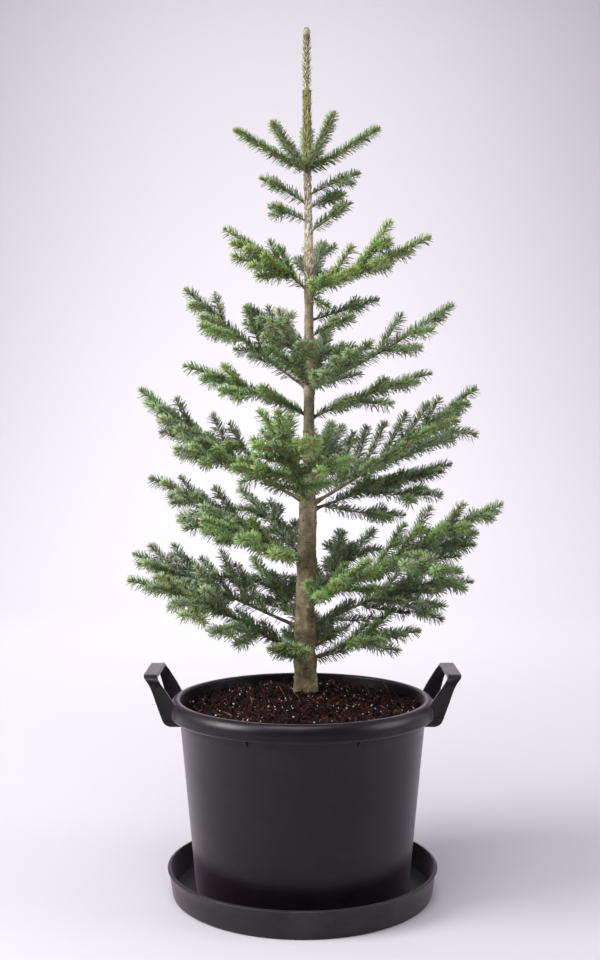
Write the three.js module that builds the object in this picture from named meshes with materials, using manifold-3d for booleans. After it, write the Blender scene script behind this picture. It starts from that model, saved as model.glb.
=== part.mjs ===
// A young fir growing in a round tub with two strap handles, on a saucer.
// Millimetres, +Z up. The origin is on the tub's axis, in the flat underside of the saucer.
// The front is towards -Y, the handles are at -X and +X.

import * as THREE from 'three';
import Module from 'manifold-3d';
import { mergeVertices } from 'three/addons/utils/BufferGeometryUtils.js';

const wasm = await Module();
wasm.setup();

// Clearance between pieces that touch
const gap = 0.3;

// Saucer
const saucer = { base: 232, top: 239, height: 50, floor: 4.6, wall: 3.4, lip: 2.2, sides: 32 };

// Tub: the wall widens upwards, the rim is a rolled band, rounded outside and at the lip
const tub = {
  foot: 190,
  under: saucer.floor + gap,
  widening: 0.0965,
  wall: 4,
  floor: 5,
  rimRadius: 238,
  rimTop: 347,
  rimDepth: 31,
  round: 9,
  lipInner: 219,
  lipRound: 5,
  sides: 36,
};
const gusset = { spread: 24.7, reach: 12, drop: 9, thick: 3 };

// Strap handles: a flat strap bent to a U that stands above the rim and leans outwards.
// Its edges are given as [height, radius], from the rounded toe under the rim up to the grip.
const strap = { thick: 5.5, foot: 305.5, grip: 394, footSpan: 58, shoulder: 73, corner: 17 };
const strapInner = [[305.5, 212], [343, 222.5], [360, 232.5], [377, 244], [392, 254], [397, 255]];
const strapOuter = [
  [305.5, 233], [307.5, 239], [312, 243.5], [318, 246], [345, 255], [369, 262.5],
  [380, 267], [388, 273], [394, 278], [397, 278.5],
];
const strapLegRings = 6;

// Soil: highest round the trunk, lower at the wall
const soil = { crown: 342, edge: 324, flat: 40 };

// Trunk: where its centre line runs, how thick it is, and the collars where boughs leave it
const trunkDepth = 45;
const trunkFoot = soil.crown + gap;
const trunkTip = 1565;
const centreLine = [
  [340, 5.7], [500, 5.3], [583, 8], [692, 10.2], [850, 12],
  [1080, 12], [1207, 11], [1300, 8.6], [1565, 7.5],
];
const thickness = [
  [342, 25], [353, 22.6], [385, 20], [430, 18.2], [620, 17], [680, 16], [705, 13], [780, 11.2],
  [880, 9.6], [940, 9], [1080, 8], [1140, 7.4], [1207, 6], [1293, 5.4], [1309, 4.5], [1541, 3],
];
const collars = [402, 460, 583, 692, 901, 1081, 1300];
const collar = { swell: 0.14, half: 14 };
const bud = { neck: 1543, waist: 3, widest: 1557, radius: 6.8 };
const trunkSides = 10;

// Needles and shoots
const needle = 15;
const needlePitch = 46;
const shootFoot = 2.8;
const shootTip = 1.1;
const shortestShoot = 48;
const sideShare = 0.72;
const risingShare = 0.5;
const testMargin = 0.45;

// Boughs from the lowest whorl up: the height they leave the trunk from, their turn from +X,
// reach and rise to the tip, sag of the middle under the straight line, bare share,
// joints with side shoots, fan and tilt of the spray
const plainBough = { sag: 0, bare: 0, joints: 0, fan: 46, tilt: 0 };
const boughRows = [
  { name: '1_left', from: 400, turn: 205, reach: 334, rise: 165, sag: -20, bare: 0.34, joints: 4, tilt: -8 },
  { name: '1_right', from: 400, turn: 350, reach: 206, rise: 61, sag: -12, bare: 0.3, joints: 2, tilt: -14 },
  { name: '1_front', from: 404, turn: 252, reach: 118, rise: 46, sag: 4, joints: 1, fan: 50 },
  { name: '1_back', from: 402, turn: 84, reach: 180, rise: 60, joints: 2 },
  { name: '2_left', from: 459, turn: 172, reach: 322, rise: 134, bare: 0.3, joints: 4, tilt: 10 },
  { name: '2_right', from: 457, turn: 8, reach: 312, rise: 84, sag: -22, bare: 0.34, joints: 3 },
  { name: '2_back', from: 462, turn: 122, reach: 190, rise: 112, sag: 4, joints: 2 },
  { name: '3_right', from: 502, turn: 344, reach: 356, rise: 191, bare: 0.32, joints: 4, tilt: 4 },
  { name: '3_front', from: 508, turn: 305, reach: 190, rise: 92, sag: 6, joints: 2, fan: 52 },
  { name: '3_back', from: 510, turn: 48, reach: 200, rise: 120, joints: 2 },
  { name: '4_left', from: 583, turn: 188, reach: 283, rise: 154, sag: -8, bare: 0.3, joints: 4, tilt: 12 },
  { name: '4_front', from: 578, turn: 224, reach: 246, rise: 92, sag: -6, joints: 2, tilt: -10 },
  { name: '4_back', from: 586, turn: 132, reach: 190, rise: 124, joints: 2 },
  { name: '5_left', from: 692, turn: 186, reach: 304, rise: 205, sag: 14, bare: 0.24, joints: 4, tilt: -6 },
  { name: '5_right', from: 686, turn: 350, reach: 303, rise: 213, sag: 12, bare: 0.24, joints: 4, tilt: 6 },
  { name: '5_low', from: 676, turn: 20, reach: 288, rise: 84, sag: -4, bare: 0.2, joints: 3 },
  { name: '5_front', from: 694, turn: 257, reach: 228, rise: 160, sag: 16, joints: 2, fan: 52 },
  { name: '5_back', from: 694, turn: 78, reach: 232, rise: 146, sag: 10, joints: 2 },
  { name: '6_left', from: 851, turn: 182, reach: 225, rise: 91, sag: -6, joints: 2, fan: 42, tilt: 8 },
  { name: '6_right', from: 846, turn: 356, reach: 219, rise: 82, sag: -4, joints: 2, fan: 42 },
  { name: '7_left', from: 901, turn: 184, reach: 224, rise: 179, sag: 8, bare: 0.2, joints: 4, tilt: -10 },
  { name: '7_right', from: 901, turn: 354, reach: 260, rise: 149, sag: 8, bare: 0.2, joints: 4, tilt: 8 },
  { name: '7_front_left', from: 902, turn: 246, reach: 130, rise: 130, sag: 6, joints: 1 },
  { name: '7_front_right', from: 897, turn: 308, reach: 170, rise: 78, sag: 4, joints: 2, fan: 50 },
  { name: '7_back', from: 903, turn: 76, reach: 160, rise: 124, sag: 4, joints: 2 },
  { name: '7_back_left', from: 905, turn: 136, reach: 150, rise: 136, sag: 4, joints: 1 },
  { name: '8_left', from: 980, turn: 180, reach: 115, rise: 70, joints: 1 },
  { name: '8_right', from: 1026, turn: 2, reach: 124, rise: 38 },
  { name: '8_front', from: 996, turn: 328, reach: 90, rise: 34 },
  { name: '8_low', from: 958, turn: 338, reach: 88, rise: 18, joints: 1 },
  { name: '9_left', from: 1080, turn: 184, reach: 153, rise: 111, sag: -4, joints: 2, tilt: -14 },
  { name: '9_right', from: 1080, turn: 352, reach: 218, rise: 93, sag: 4, joints: 2, tilt: 12 },
  { name: '9_front', from: 1062, turn: 298, reach: 66, rise: 38 },
  { name: '9_back', from: 1082, turn: 78, reach: 128, rise: 104, joints: 1 },
  { name: '10_left_high', from: 1238, turn: 182, reach: 84, rise: 48, sag: -3 },
  { name: '10_left_low', from: 1207, turn: 188, reach: 70, rise: 25, sag: -3 },
  { name: '10_right_high', from: 1256, turn: 355, reach: 91, rise: 38, sag: -2 },
  { name: '10_right', from: 1232, turn: 24, reach: 64, rise: 33 },
  { name: '10_right_low', from: 1187, turn: 8, reach: 75, rise: 55 },
];

const boughs = boughRows.map((row) => ({ ...plainBough, ...row }));

// The five shoots of the top whorl, fused by a collar round the leader
const topWhorl = {
  height: 1300,
  collarHeight: 9,
  collarThick: 2.6,
  shoots: [
    { azimuth: 205, reach: 139, rise: 60 },
    { azimuth: 240, reach: 109, rise: 65 },
    { azimuth: 300, reach: 92, rise: 84 },
    { azimuth: 345, reach: 131, rise: 69 },
    { azimuth: 100, reach: 76, rise: 96 },
  ],
};

// Needles pressed to the leader: a dense sleeve below, a sparser one above
const sleeve = { from: 1315, step: 1446, to: 1539, pitch: 18.5, wall: 1.2, faces: 5 };
const pressed = { low: 3.4, high: 2.4 };

// Materials
const finish = (colour, roughness, metalness = 0) =>
  new THREE.MeshStandardMaterial({ color: colour, roughness, metalness });
const materials = {
  plastic: finish(0x29262b, 0.5),
  saucer: finish(0x39343a, 0.55),
  soil: finish(0x2a1613, 0.98),
  bark: finish(0x7d7052, 0.9),
  twig: finish(0x6f6049, 0.88),
  needles: finish(0x4c7438, 0.7),
  fresh: finish(0x7f8640, 0.7),
};

const root = new THREE.Group();

function addNode(name, geometry, material) {
  const mesh = new THREE.Mesh(geometry, material);
  mesh.name = name;
  root.add(mesh);
}

// Seeded random numbers between 0 and 1
function seeded(seed) {
  let state = seed >>> 0;
  return () => {
    state = (state + 0x6d2b79f5) >>> 0;
    let mix = Math.imul(state ^ (state >>> 15), state | 1);
    mix ^= mix + Math.imul(mix ^ (mix >>> 7), mix | 61);
    return ((mix ^ (mix >>> 14)) >>> 0) / 4294967296;
  };
}

const radians = THREE.MathUtils.degToRad;

// Value between rows of [place, value]
function between(rows, place) {
  for (let i = 1; i < rows.length; i++) {
    const [start, low] = rows[i - 1];
    const [end, high] = rows[i];
    if (place <= end) return low + ((high - low) * Math.max(0, place - start)) / (end - start);
  }
  return rows[rows.length - 1][1];
}

// Closed solids: from triangles to a solid and back
function toSolid(geometry) {
  const bare = geometry.clone();
  bare.deleteAttribute('normal');
  bare.deleteAttribute('uv');
  const merged = mergeVertices(bare, 1e-4);
  const vertProperties = new Float32Array(merged.attributes.position.array);
  const triVerts = new Uint32Array(merged.index.array);
  return new wasm.Manifold(new wasm.Mesh({ numProp: 3, vertProperties, triVerts }));
}

function toGeometry(solid) {
  const mesh = solid.getMesh();
  const geometry = new THREE.BufferGeometry();
  geometry.setAttribute('position', new THREE.BufferAttribute(new Float32Array(mesh.vertProperties), 3));
  geometry.setIndex(new THREE.BufferAttribute(new Uint32Array(mesh.triVerts), 1));
  geometry.computeVertexNormals();
  return geometry;
}

function fromTriangles(points, triangles) {
  const geometry = new THREE.BufferGeometry();
  const places = points.flatMap((point) => point.toArray());
  geometry.setAttribute('position', new THREE.Float32BufferAttribute(places, 3));
  geometry.setIndex(triangles.flat());
  return geometry;
}

// A solid through rings of equal size, each ring going anticlockwise seen from the far end
function loft(rings) {
  const count = rings[0].length;
  const points = rings.flat();
  const triangles = [];
  for (let r = 0; r + 1 < rings.length; r++) {
    for (let i = 0; i < count; i++) {
      const j = (i + 1) % count;
      const a = r * count + i;
      const b = r * count + j;
      triangles.push([a, b, b + count], [a, b + count, a + count]);
    }
  }
  const last = (rings.length - 1) * count;
  for (let i = 1; i + 1 < count; i++) {
    triangles.push([0, i + 1, i], [last, last + i, last + i + 1]);
  }
  return fromTriangles(points, triangles);
}

// A closed outline of [radius, height] turned round the axis
function turned(outline, sides) {
  const points = outline.map(([radius, height]) => new THREE.Vector2(radius, height));
  const geometry = new THREE.LatheGeometry(points, sides);
  geometry.rotateX(Math.PI / 2);
  return geometry;
}

// Tub
function tubRadius(height) {
  return tub.foot + (height - tub.under) * tub.widening;
}

function tubOutline(extra) {
  const underRim = tub.rimTop - tub.rimDepth;
  const { rimRadius, rimTop, round, lipInner, lipRound, wall, under, floor } = tub;
  const outer = [
    [0, under - extra],
    [tub.foot - 4 + extra, under - extra],
    [tub.foot + extra, under + 5],
    [tubRadius(underRim) + extra, underRim - extra],
    [rimRadius + extra, underRim - extra],
    [rimRadius + extra, rimTop - round],
    [rimRadius - round * 0.3 + extra, rimTop - round * 0.3 + extra],
    [rimRadius - round, rimTop + extra],
  ];
  const inner = [
    [lipInner + lipRound, rimTop + extra],
    [lipInner + lipRound * 0.3 - extra, rimTop - lipRound * 0.3 + extra],
    [lipInner - extra, rimTop - lipRound],
    [lipInner - extra, underRim + 3],
    [tubRadius(underRim - 8) - wall - extra, underRim - 8],
    [tubRadius(under + floor) - wall - extra, under + floor + extra],
    [0, under + floor + extra],
  ];
  return [...outer, ...inner];
}

function gussetSolid(azimuth) {
  const top = tub.rimTop - tub.rimDepth + 1;
  const wallAt = tubRadius(top) - 1.5;
  const shape = new THREE.Shape();
  shape.moveTo(wallAt, top);
  shape.lineTo(wallAt, top - gusset.drop - 4);
  shape.lineTo(wallAt + 2.5, top - gusset.drop - 4);
  shape.lineTo(wallAt + gusset.reach, top);
  const plate = new THREE.ExtrudeGeometry(shape, { depth: gusset.thick, bevelEnabled: false });
  plate.translate(0, 0, -gusset.thick / 2);
  plate.rotateX(Math.PI / 2);
  plate.rotateZ(radians(azimuth));
  return toSolid(plate);
}

let tubSolid = toSolid(turned(tubOutline(0), tub.sides));
for (const facing of [270, 90]) {
  for (const side of [-1, 1]) {
    tubSolid = tubSolid.add(gussetSolid(facing + side * gusset.spread));
  }
}
addNode('tub', toGeometry(tubSolid), materials.plastic);

// Saucer
const saucerOutline = [
  [0, 0],
  [saucer.base - 3, 0],
  [saucer.base, 3],
  [saucer.top - 1, saucer.height - 6],
  [saucer.top + saucer.lip, saucer.height - 4],
  [saucer.top + saucer.lip, saucer.height],
  [saucer.top - saucer.wall, saucer.height],
  [saucer.base - saucer.wall, saucer.floor + 3],
  [saucer.base - saucer.wall - 4, saucer.floor],
  [0, saucer.floor],
];
addNode('saucer', toGeometry(toSolid(turned(saucerOutline, saucer.sides))), materials.saucer);

// Strap handle: up one leg, round the shoulder, along the grip and down the other leg
function strapSolid(side) {
  const { thick, foot, grip, footSpan, shoulder, corner } = strap;
  const bendFoot = grip - corner;
  const leg = strapOuter.slice(0, strapLegRings).map(([height]) => {
    const share = (height - foot) / (bendFoot - foot);
    return new THREE.Vector2(footSpan + (shoulder - 2 - footSpan) * share, height);
  });
  const bend = new THREE.QuadraticBezierCurve(
    new THREE.Vector2(shoulder - 2, bendFoot),
    new THREE.Vector2(shoulder, grip),
    new THREE.Vector2(shoulder - corner, grip),
  );
  const right = [...leg, ...bend.getPoints(5)];
  const left = right.map(({ x, y }) => new THREE.Vector2(-x, y));
  const route = [...left, ...right.reverse()];
  const rings = route.map((point, i) => {
    const before = route[Math.max(0, i - 1)];
    const after = route[Math.min(route.length - 1, i + 1)];
    const along = after.clone().sub(before).normalize();
    const across = new THREE.Vector2(-along.y, along.x);
    const corners = [[1, strapOuter], [-1, strapOuter], [-1, strapInner], [1, strapInner]];
    return corners.map(([u, edge]) => {
      const flat = point.clone().addScaledVector(across, (u * thick) / 2);
      return new THREE.Vector3(between(edge, flat.y), flat.x, flat.y);
    });
  });
  const bar = loft(rings);
  if (side < 0) bar.rotateZ(Math.PI);
  return toSolid(bar);
}

const tubClear = toSolid(turned(tubOutline(gap + 0.05), tub.sides));
for (const [name, side] of [['handle_left', -1], ['handle_right', 1]]) {
  addNode(name, toGeometry(strapSolid(side).subtract(tubClear)), materials.plastic);
}

// Soil: a body that fills the tub, its top a low mound round the trunk
function trunkX(height) {
  return between(centreLine, height);
}

function soilGeometry() {
  const bottom = tub.under + tub.floor + gap;
  const inside = (height) => tubRadius(height) - tub.wall - gap - 0.7;
  const around = (radius, height, x = 0, y = 0) =>
    Array.from({ length: tub.sides }, (_, i) => {
      const turn = (i / tub.sides) * Math.PI * 2;
      const wave = radius > 0.5 * tub.foot ? 1.6 * Math.sin(5 * turn) + 1.2 * Math.sin(8 * turn + 1) : 0;
      const lift = height > bottom + 50 ? wave : 0;
      return new THREE.Vector3(x + radius * Math.cos(turn), y + radius * Math.sin(turn), height + lift);
    });
  const rim = tub.rimTop - tub.rimDepth - 10;
  const middle = (soil.crown + soil.edge) / 2;
  return loft([
    around(inside(bottom), bottom),
    around(inside(rim), rim - 3),
    around(inside(rim), soil.edge - 4),
    around(inside(rim) * 0.8, soil.edge + 5),
    around(inside(rim) * 0.52, middle + 3, trunkX(soil.crown) * 0.6, trunkDepth * 0.5),
    around(soil.flat, soil.crown, trunkX(soil.crown), trunkDepth),
  ]);
}
addNode('soil', toGeometry(toSolid(soilGeometry())), materials.soil);

// Trunk: rings up the centre line, wider at each collar and at the bud
function trunkRadius(height) {
  let radius = between(thickness, height);
  for (const place of collars) {
    const near = Math.max(0, 1 - Math.abs(height - place) / collar.half);
    radius *= 1 + collar.swell * near;
  }
  return radius;
}

function trunkRing(height, radius) {
  return Array.from({ length: trunkSides }, (_, i) => {
    const turn = (i / trunkSides) * Math.PI * 2;
    const x = trunkX(height) + radius * Math.cos(turn);
    return new THREE.Vector3(x, trunkDepth + radius * Math.sin(turn), height);
  });
}

function trunkGeometry(extra) {
  const kept = collars.flatMap((place) => [place - collar.half, place, place + collar.half]);
  for (const [height] of thickness) {
    if (height > trunkFoot && kept.every((other) => Math.abs(other - height) > 6)) kept.push(height);
  }
  kept.sort((a, b) => a - b);
  const rings = [trunkRing(trunkFoot - extra, trunkRadius(trunkFoot) + extra)];
  for (const height of kept) rings.push(trunkRing(height, trunkRadius(height) + extra));
  rings.push(trunkRing(bud.neck, bud.waist + extra));
  for (const [height, share] of [[0.45, 0.86], [1, 1], [1.55, 0.7]]) {
    const place = bud.neck + (bud.widest - bud.neck) * height;
    rings.push(trunkRing(place, bud.radius * share + extra));
  }
  rings.push(trunkRing(trunkTip + extra, 1.5));
  return loft(rings);
}

const trunkSolid = toSolid(trunkGeometry(0));
const trunkClear = toSolid(trunkGeometry(gap));
addNode('trunk', toGeometry(trunkSolid), materials.bark);

// Axis of a limb from its foot, by azimuth, reach, rise and sag of its middle
function limbAxis(foot, azimuth, reach, rise, sag) {
  const turn = radians(azimuth);
  const tip = foot.clone().add(new THREE.Vector3(reach * Math.cos(turn), reach * Math.sin(turn), rise));
  const middle = foot.clone().lerp(tip, 0.5);
  middle.z -= 2 * sag;
  return new THREE.QuadraticBezierCurve3(foot, middle, tip);
}

// Directions at a place along an axis: forwards, sideways and up out of the spray
function frameAt(axis, share, tilt) {
  const forward = axis.getTangentAt(share);
  const side = new THREE.Vector3(0, 0, 1).cross(forward).normalize();
  side.applyAxisAngle(forward, radians(tilt));
  const up = forward.clone().cross(side).normalize();
  return { at: axis.getPointAt(share), forward, side, up };
}

// A bare bough: a round tapering limb along the first share of an axis
function boughSolid(axis, share, startRadius, endRadius) {
  const steps = 3;
  const sides = 6;
  const rings = [];
  for (let i = 0; i <= steps; i++) {
    const { at, side, up } = frameAt(axis, (share * i) / steps, 0);
    const radius = startRadius + ((endRadius - startRadius) * i) / steps;
    rings.push(Array.from({ length: sides }, (_, k) => {
      const turn = (k / sides) * Math.PI * 2;
      const place = at.clone().addScaledVector(side, radius * Math.cos(turn));
      return place.addScaledVector(up, radius * Math.sin(turn));
    }));
  }
  return toSolid(loft(rings));
}

// A shoot: a three-sided tapering stem whose sides and top stand out as teeth,
// one for each group of needles
function shootSolid(shoot, extra = 0) {
  const { axis, from, plain, tilt, foot } = shoot;
  const length = axis.getLength();
  const toothed = from + plain / length;
  const count = Math.max(2, Math.round(((1 - toothed) * length) / needlePitch));
  const places = plain > 0 ? [from] : [];
  for (let i = 0; i <= count; i++) places.push(toothed + ((1 - toothed) * i) / (count + 0.3));
  const points = [];
  const triangles = [];
  places.forEach((share) => {
    const { at, side, up } = frameAt(axis, share, tilt);
    const half = foot + (shootTip - foot) * share + extra;
    for (const [u, v] of [[1, 0.5], [-1, 0.5], [0, -1]]) {
      points.push(at.clone().addScaledVector(side, u * half).addScaledVector(up, v * half));
    }
  });
  const tooth = (ring, first, second, outward, rise, reach) => {
    const { at, forward, side, up } = frameAt(axis, (places[ring] + places[ring + 1]) / 2, tilt);
    const apex = at.clone().addScaledVector(side, outward * reach).addScaledVector(up, rise);
    apex.addScaledVector(forward, needle * 0.45);
    const base = 3 * ring;
    const [a, b, c, d] = [base + first, base + second, base + 3 + second, base + 3 + first];
    const tip = points.push(apex) - 1;
    triangles.push([a, b, tip], [b, c, tip], [c, d, tip], [d, a, tip]);
  };
  const flat = (ring, first, second) => {
    const [a, b] = [3 * ring + first, 3 * ring + second];
    triangles.push([a, b, b + 3], [a, b + 3, a + 3]);
  };
  for (let ring = 0; ring + 1 < places.length; ring++) {
    const bare = plain > 0 && ring === 0;
    const share = ring / places.length;
    const reach = needle * (share < 0.12 ? 0.75 : 1) * (share > 0.85 ? 0.85 : 1) + extra;
    if (bare) {
      for (let i = 0; i < 3; i++) flat(ring, i, (i + 1) % 3);
    } else {
      if (ring % 2 === 1) tooth(ring, 0, 1, 0, needle * 0.62 + extra, 0);
      else flat(ring, 0, 1);
      tooth(ring, 1, 2, -1, needle * 0.3, reach);
      tooth(ring, 2, 0, 1, needle * 0.3, reach);
    }
  }
  const last = 3 * (places.length - 1);
  const end = points.push(axis.getPointAt(1).addScaledVector(axis.getTangentAt(1), extra)) - 1;
  for (let i = 0; i < 3; i++) triangles.push([last + i, last + ((i + 1) % 3), end]);
  triangles.push([0, 2, 1]);
  return toSolid(fromTriangles(points, triangles));
}

// Side shoots: a flat pair and a rising one at each joint, shorter towards the tip,
// each with a joint of its own while it is long
function sideShoots(parent, joints, fan, random) {
  const length = parent.axis.getLength();
  const grown = [];
  for (let joint = 1; joint <= joints; joint++) {
    for (const side of joint % 2 === 1 ? [1, -1, 0] : [1, -1]) {
      const start = parent.from + parent.plain / length * 0.6;
      const rising = side === 0;
      const share = start + ((1 - start) * joint) / (joints + 1) + (random() - 0.5) * 0.06;
      const swing = radians(rising ? 30 * (random() - 0.5) : side * fan * (0.86 + 0.28 * random()));
      const spread = random();
      const full = (rising ? risingShare : sideShare) * length * (1 - share);
      const reach = full * (0.85 + 0.35 * random());
      const tilt = (random() - 0.5) * 40;
      if (reach < shortestShoot) continue;
      const at = parent.axis.getPointAt(share);
      const forward = parent.axis.getTangentAt(share);
      const climb = Math.asin(forward.z);
      const slope = rising
        ? climb + radians(20 + 14 * spread)
        : climb * 0.4 + radians(side * parent.tilt * 0.7 - 14 + 18 * spread);
      const heading = new THREE.Vector3(1, 0, 0).applyAxisAngle(new THREE.Vector3(0, -1, 0), slope);
      heading.applyAxisAngle(new THREE.Vector3(0, 0, 1), Math.atan2(forward.y, forward.x) + swing);
      const tip = at.clone().addScaledVector(heading, reach);
      const middle = at.clone().lerp(tip, 0.5);
      middle.z -= reach * 0.05;
      const axis = new THREE.QuadraticBezierCurve3(at, middle, tip);
      const shoot = { axis, from: 0, plain: 9, tilt, foot: Math.min(2.2, parent.foot) };
      shoot.joints = reach > 150 ? 1 : 0;
      grown.push(shoot);
    }
  }
  return grown;
}

// Foliage masses: every stem first, so that side shoots give way to stems and limbs
const limbs = [{ solid: trunkSolid, box: trunkSolid.boundingBox() }];
const masses = [];
boughs.forEach((bough, index) => {
  const foot = new THREE.Vector3(trunkX(bough.from), trunkDepth, bough.from);
  const axis = limbAxis(foot, bough.turn, bough.reach, bough.rise, bough.sag);
  const length = axis.getLength();
  const size = 2.6 + length * 0.007;
  if (bough.bare > 0) {
    const limb = boughSolid(axis, bough.bare, size * 1.15, size * 0.78).subtract(trunkClear);
    limbs.push({ solid: limb, box: limb.boundingBox() });
    addNode(`bough_${bough.name}`, toGeometry(limb), materials.twig);
  }
  const plain = bough.bare > 0 ? 0 : trunkRadius(bough.from) + 5;
  const from = bough.bare > 0 ? bough.bare + gap / length : 0;
  const stemFoot = Math.min(shootFoot + length * 0.003, size * 0.75);
  const stem = { axis, from, plain, tilt: bough.tilt, foot: stemFoot };
  masses.push({ bough, stem, random: seeded(101 + 17 * index), pieces: [] });
});

// The top whorl and the leader's sleeve stand in the way of nothing, so they are made first
const top = topWhorl.height;
const topRadius = trunkRadius(top) + gap + 0.2;
const halfCollar = topWhorl.collarHeight / 2;
const collarOutline = [
  [topRadius, -halfCollar],
  [topRadius + topWhorl.collarThick, -halfCollar * 0.5],
  [topRadius + topWhorl.collarThick, halfCollar * 0.5],
  [topRadius, halfCollar],
  [topRadius, -halfCollar],
];
let whorl = toSolid(turned(collarOutline, 12).translate(trunkX(top), trunkDepth, top));
for (const { azimuth, reach, rise } of topWhorl.shoots) {
  const axis = limbAxis(new THREE.Vector3(trunkX(top), trunkDepth, top), azimuth, reach, rise, 3);
  whorl = whorl.add(shootSolid({ axis, from: 0, plain: 11, tilt: 0, foot: shootFoot }));
}
whorl = whorl.subtract(trunkClear);
addNode('foliage_top_whorl', toGeometry(whorl), materials.needles);

// Sleeve of pressed needles: rings of teeth round the leader, open through the middle
function sleeveGeometry() {
  const { from, to, pitch, faces, wall } = sleeve;
  const steps = Math.round((to - from) / pitch);
  const points = [];
  const triangles = [];
  const ring = (height, radius) => {
    const first = points.length;
    for (let i = 0; i < faces; i++) {
      const turn = (i / faces) * Math.PI * 2;
      points.push(new THREE.Vector3(
        trunkX(height) + radius * Math.cos(turn),
        trunkDepth + radius * Math.sin(turn),
        height,
      ));
    }
    return first;
  };
  const slack = 1 / Math.cos(Math.PI / faces);
  const inner = (height) => (trunkRadius(height) + gap + 0.1) * slack;
  const outer = [];
  for (let i = 0; i <= steps; i++) {
    const height = from + (to - from) * (i / steps);
    outer.push(ring(height, inner(height) + wall));
  }
  for (let i = 0; i < steps; i++) {
    const height = from + (to - from) * ((i + 0.9) / steps);
    const reach = inner(height) + wall + (height < sleeve.step ? pressed.low : pressed.high);
    for (let k = 0; k < faces; k++) {
      const turn = ((k + 0.5) / faces) * Math.PI * 2;
      const tip = points.push(new THREE.Vector3(
        trunkX(height) + reach * Math.cos(turn),
        trunkDepth + reach * Math.sin(turn),
        height,
      )) - 1;
      const next = (k + 1) % faces;
      const [a, b, c, d] = [outer[i] + k, outer[i] + next, outer[i + 1] + next, outer[i + 1] + k];
      triangles.push([a, b, tip], [b, c, tip], [c, d, tip], [d, a, tip]);
    }
  }
  const low = ring(from, inner(from));
  const high = ring(to, inner(to));
  for (let k = 0; k < faces; k++) {
    const next = (k + 1) % faces;
    triangles.push([low + next, low + k, high + k], [low + next, high + k, high + next]);
    triangles.push([low + k, low + next, outer[0] + next], [low + k, outer[0] + next, outer[0] + k]);
    const end = outer[steps];
    triangles.push([high + next, high + k, end + k], [high + next, end + k, end + next]);
  }
  return fromTriangles(points, triangles);
}
const sleeveSolid = toSolid(sleeveGeometry());
addNode('leader_needles', toGeometry(sleeveSolid), materials.fresh);
for (const solid of [whorl, sleeveSolid, tubSolid, ...[-1, 1].map(strapSolid)]) {
  limbs.push({ solid, box: solid.boundingBox() });
}

function boxesMeet(a, b) {
  return [0, 1, 2].every((k) => a.min[k] <= b.max[k] && b.min[k] <= a.max[k]);
}

// A piece may stand where it meets no limb and no other mass
function isFree(piece, mass, ownLimbs) {
  const box = piece.boundingBox();
  const others = masses.filter((other) => other !== mass).flatMap((other) => other.pieces);
  return [...others, ...ownLimbs].every((other) =>
    !boxesMeet(box, other.box) || piece.intersect(other.solid).isEmpty());
}

function place(mass, solid) {
  mass.pieces.push({ solid, box: solid.boundingBox() });
}

for (const mass of masses) {
  const { bough, stem } = mass;
  let solid = shootSolid(stem);
  if (bough.bare === 0) solid = solid.subtract(trunkClear);
  place(mass, solid);
}
for (const mass of masses) {
  const waiting = sideShoots(mass.stem, mass.bough.joints, mass.bough.fan, mass.random);
  while (waiting.length > 0) {
    const shoot = waiting.shift();
    if (!isFree(shootSolid(shoot, testMargin), mass, limbs)) continue;
    place(mass, shootSolid(shoot));
    waiting.push(...sideShoots(shoot, shoot.joints, mass.bough.fan, mass.random));
  }
}
for (const mass of masses) {
  const joined = mass.pieces.map((piece) => piece.solid).reduce((whole, solid) => whole.add(solid));
  addNode(`foliage_${mass.bough.name}`, toGeometry(joined), materials.needles);
}

export default root;
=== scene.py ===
import math

import bmesh
import bpy
import numpy as np
from mathutils import Matrix, Vector, noise


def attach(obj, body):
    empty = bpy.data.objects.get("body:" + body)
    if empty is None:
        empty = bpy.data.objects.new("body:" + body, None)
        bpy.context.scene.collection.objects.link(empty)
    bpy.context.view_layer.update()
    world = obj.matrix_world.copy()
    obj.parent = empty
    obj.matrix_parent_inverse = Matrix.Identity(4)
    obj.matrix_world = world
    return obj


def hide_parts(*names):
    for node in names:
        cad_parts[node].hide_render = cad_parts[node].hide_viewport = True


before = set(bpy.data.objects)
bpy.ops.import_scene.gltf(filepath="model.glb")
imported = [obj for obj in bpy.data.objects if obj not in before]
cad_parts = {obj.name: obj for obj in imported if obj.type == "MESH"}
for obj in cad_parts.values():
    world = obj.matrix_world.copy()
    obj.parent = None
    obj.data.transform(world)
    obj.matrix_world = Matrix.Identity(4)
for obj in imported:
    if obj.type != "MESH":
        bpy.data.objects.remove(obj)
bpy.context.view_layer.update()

# A young fir in a dark round tub with two strap handles, on a saucer, in a pale studio.
# Metres, +Z up, the front towards -Y. Needles, chips and twigs are joined meshes made from arrays.

rootBody = "root"
mm = 0.001


# Camera and studio

viewpoint = {
    "side": -0.0045,
    "distance": 2.25,
    "height": 0.810,
    "lens": 46.9,
    "sensor": 36,
    "shift": -0.0431,   # the photograph's horizon is a little above its middle
}

studio = {
    "floorSize": 17.0,
    "wallAt": 7.0,                      # well behind the tree, so that it can be seen from there too
    "wallHeight": 7.0,
    "sweepRadius": 3.4,
    "paper": (0.550, 0.528, 0.565),
    "dome": (0.735, 0.715, 0.765),      # the room behind the tree
    "frontDome": (0.20, 0.19, 0.21),    # the darker room behind the camera
}

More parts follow.
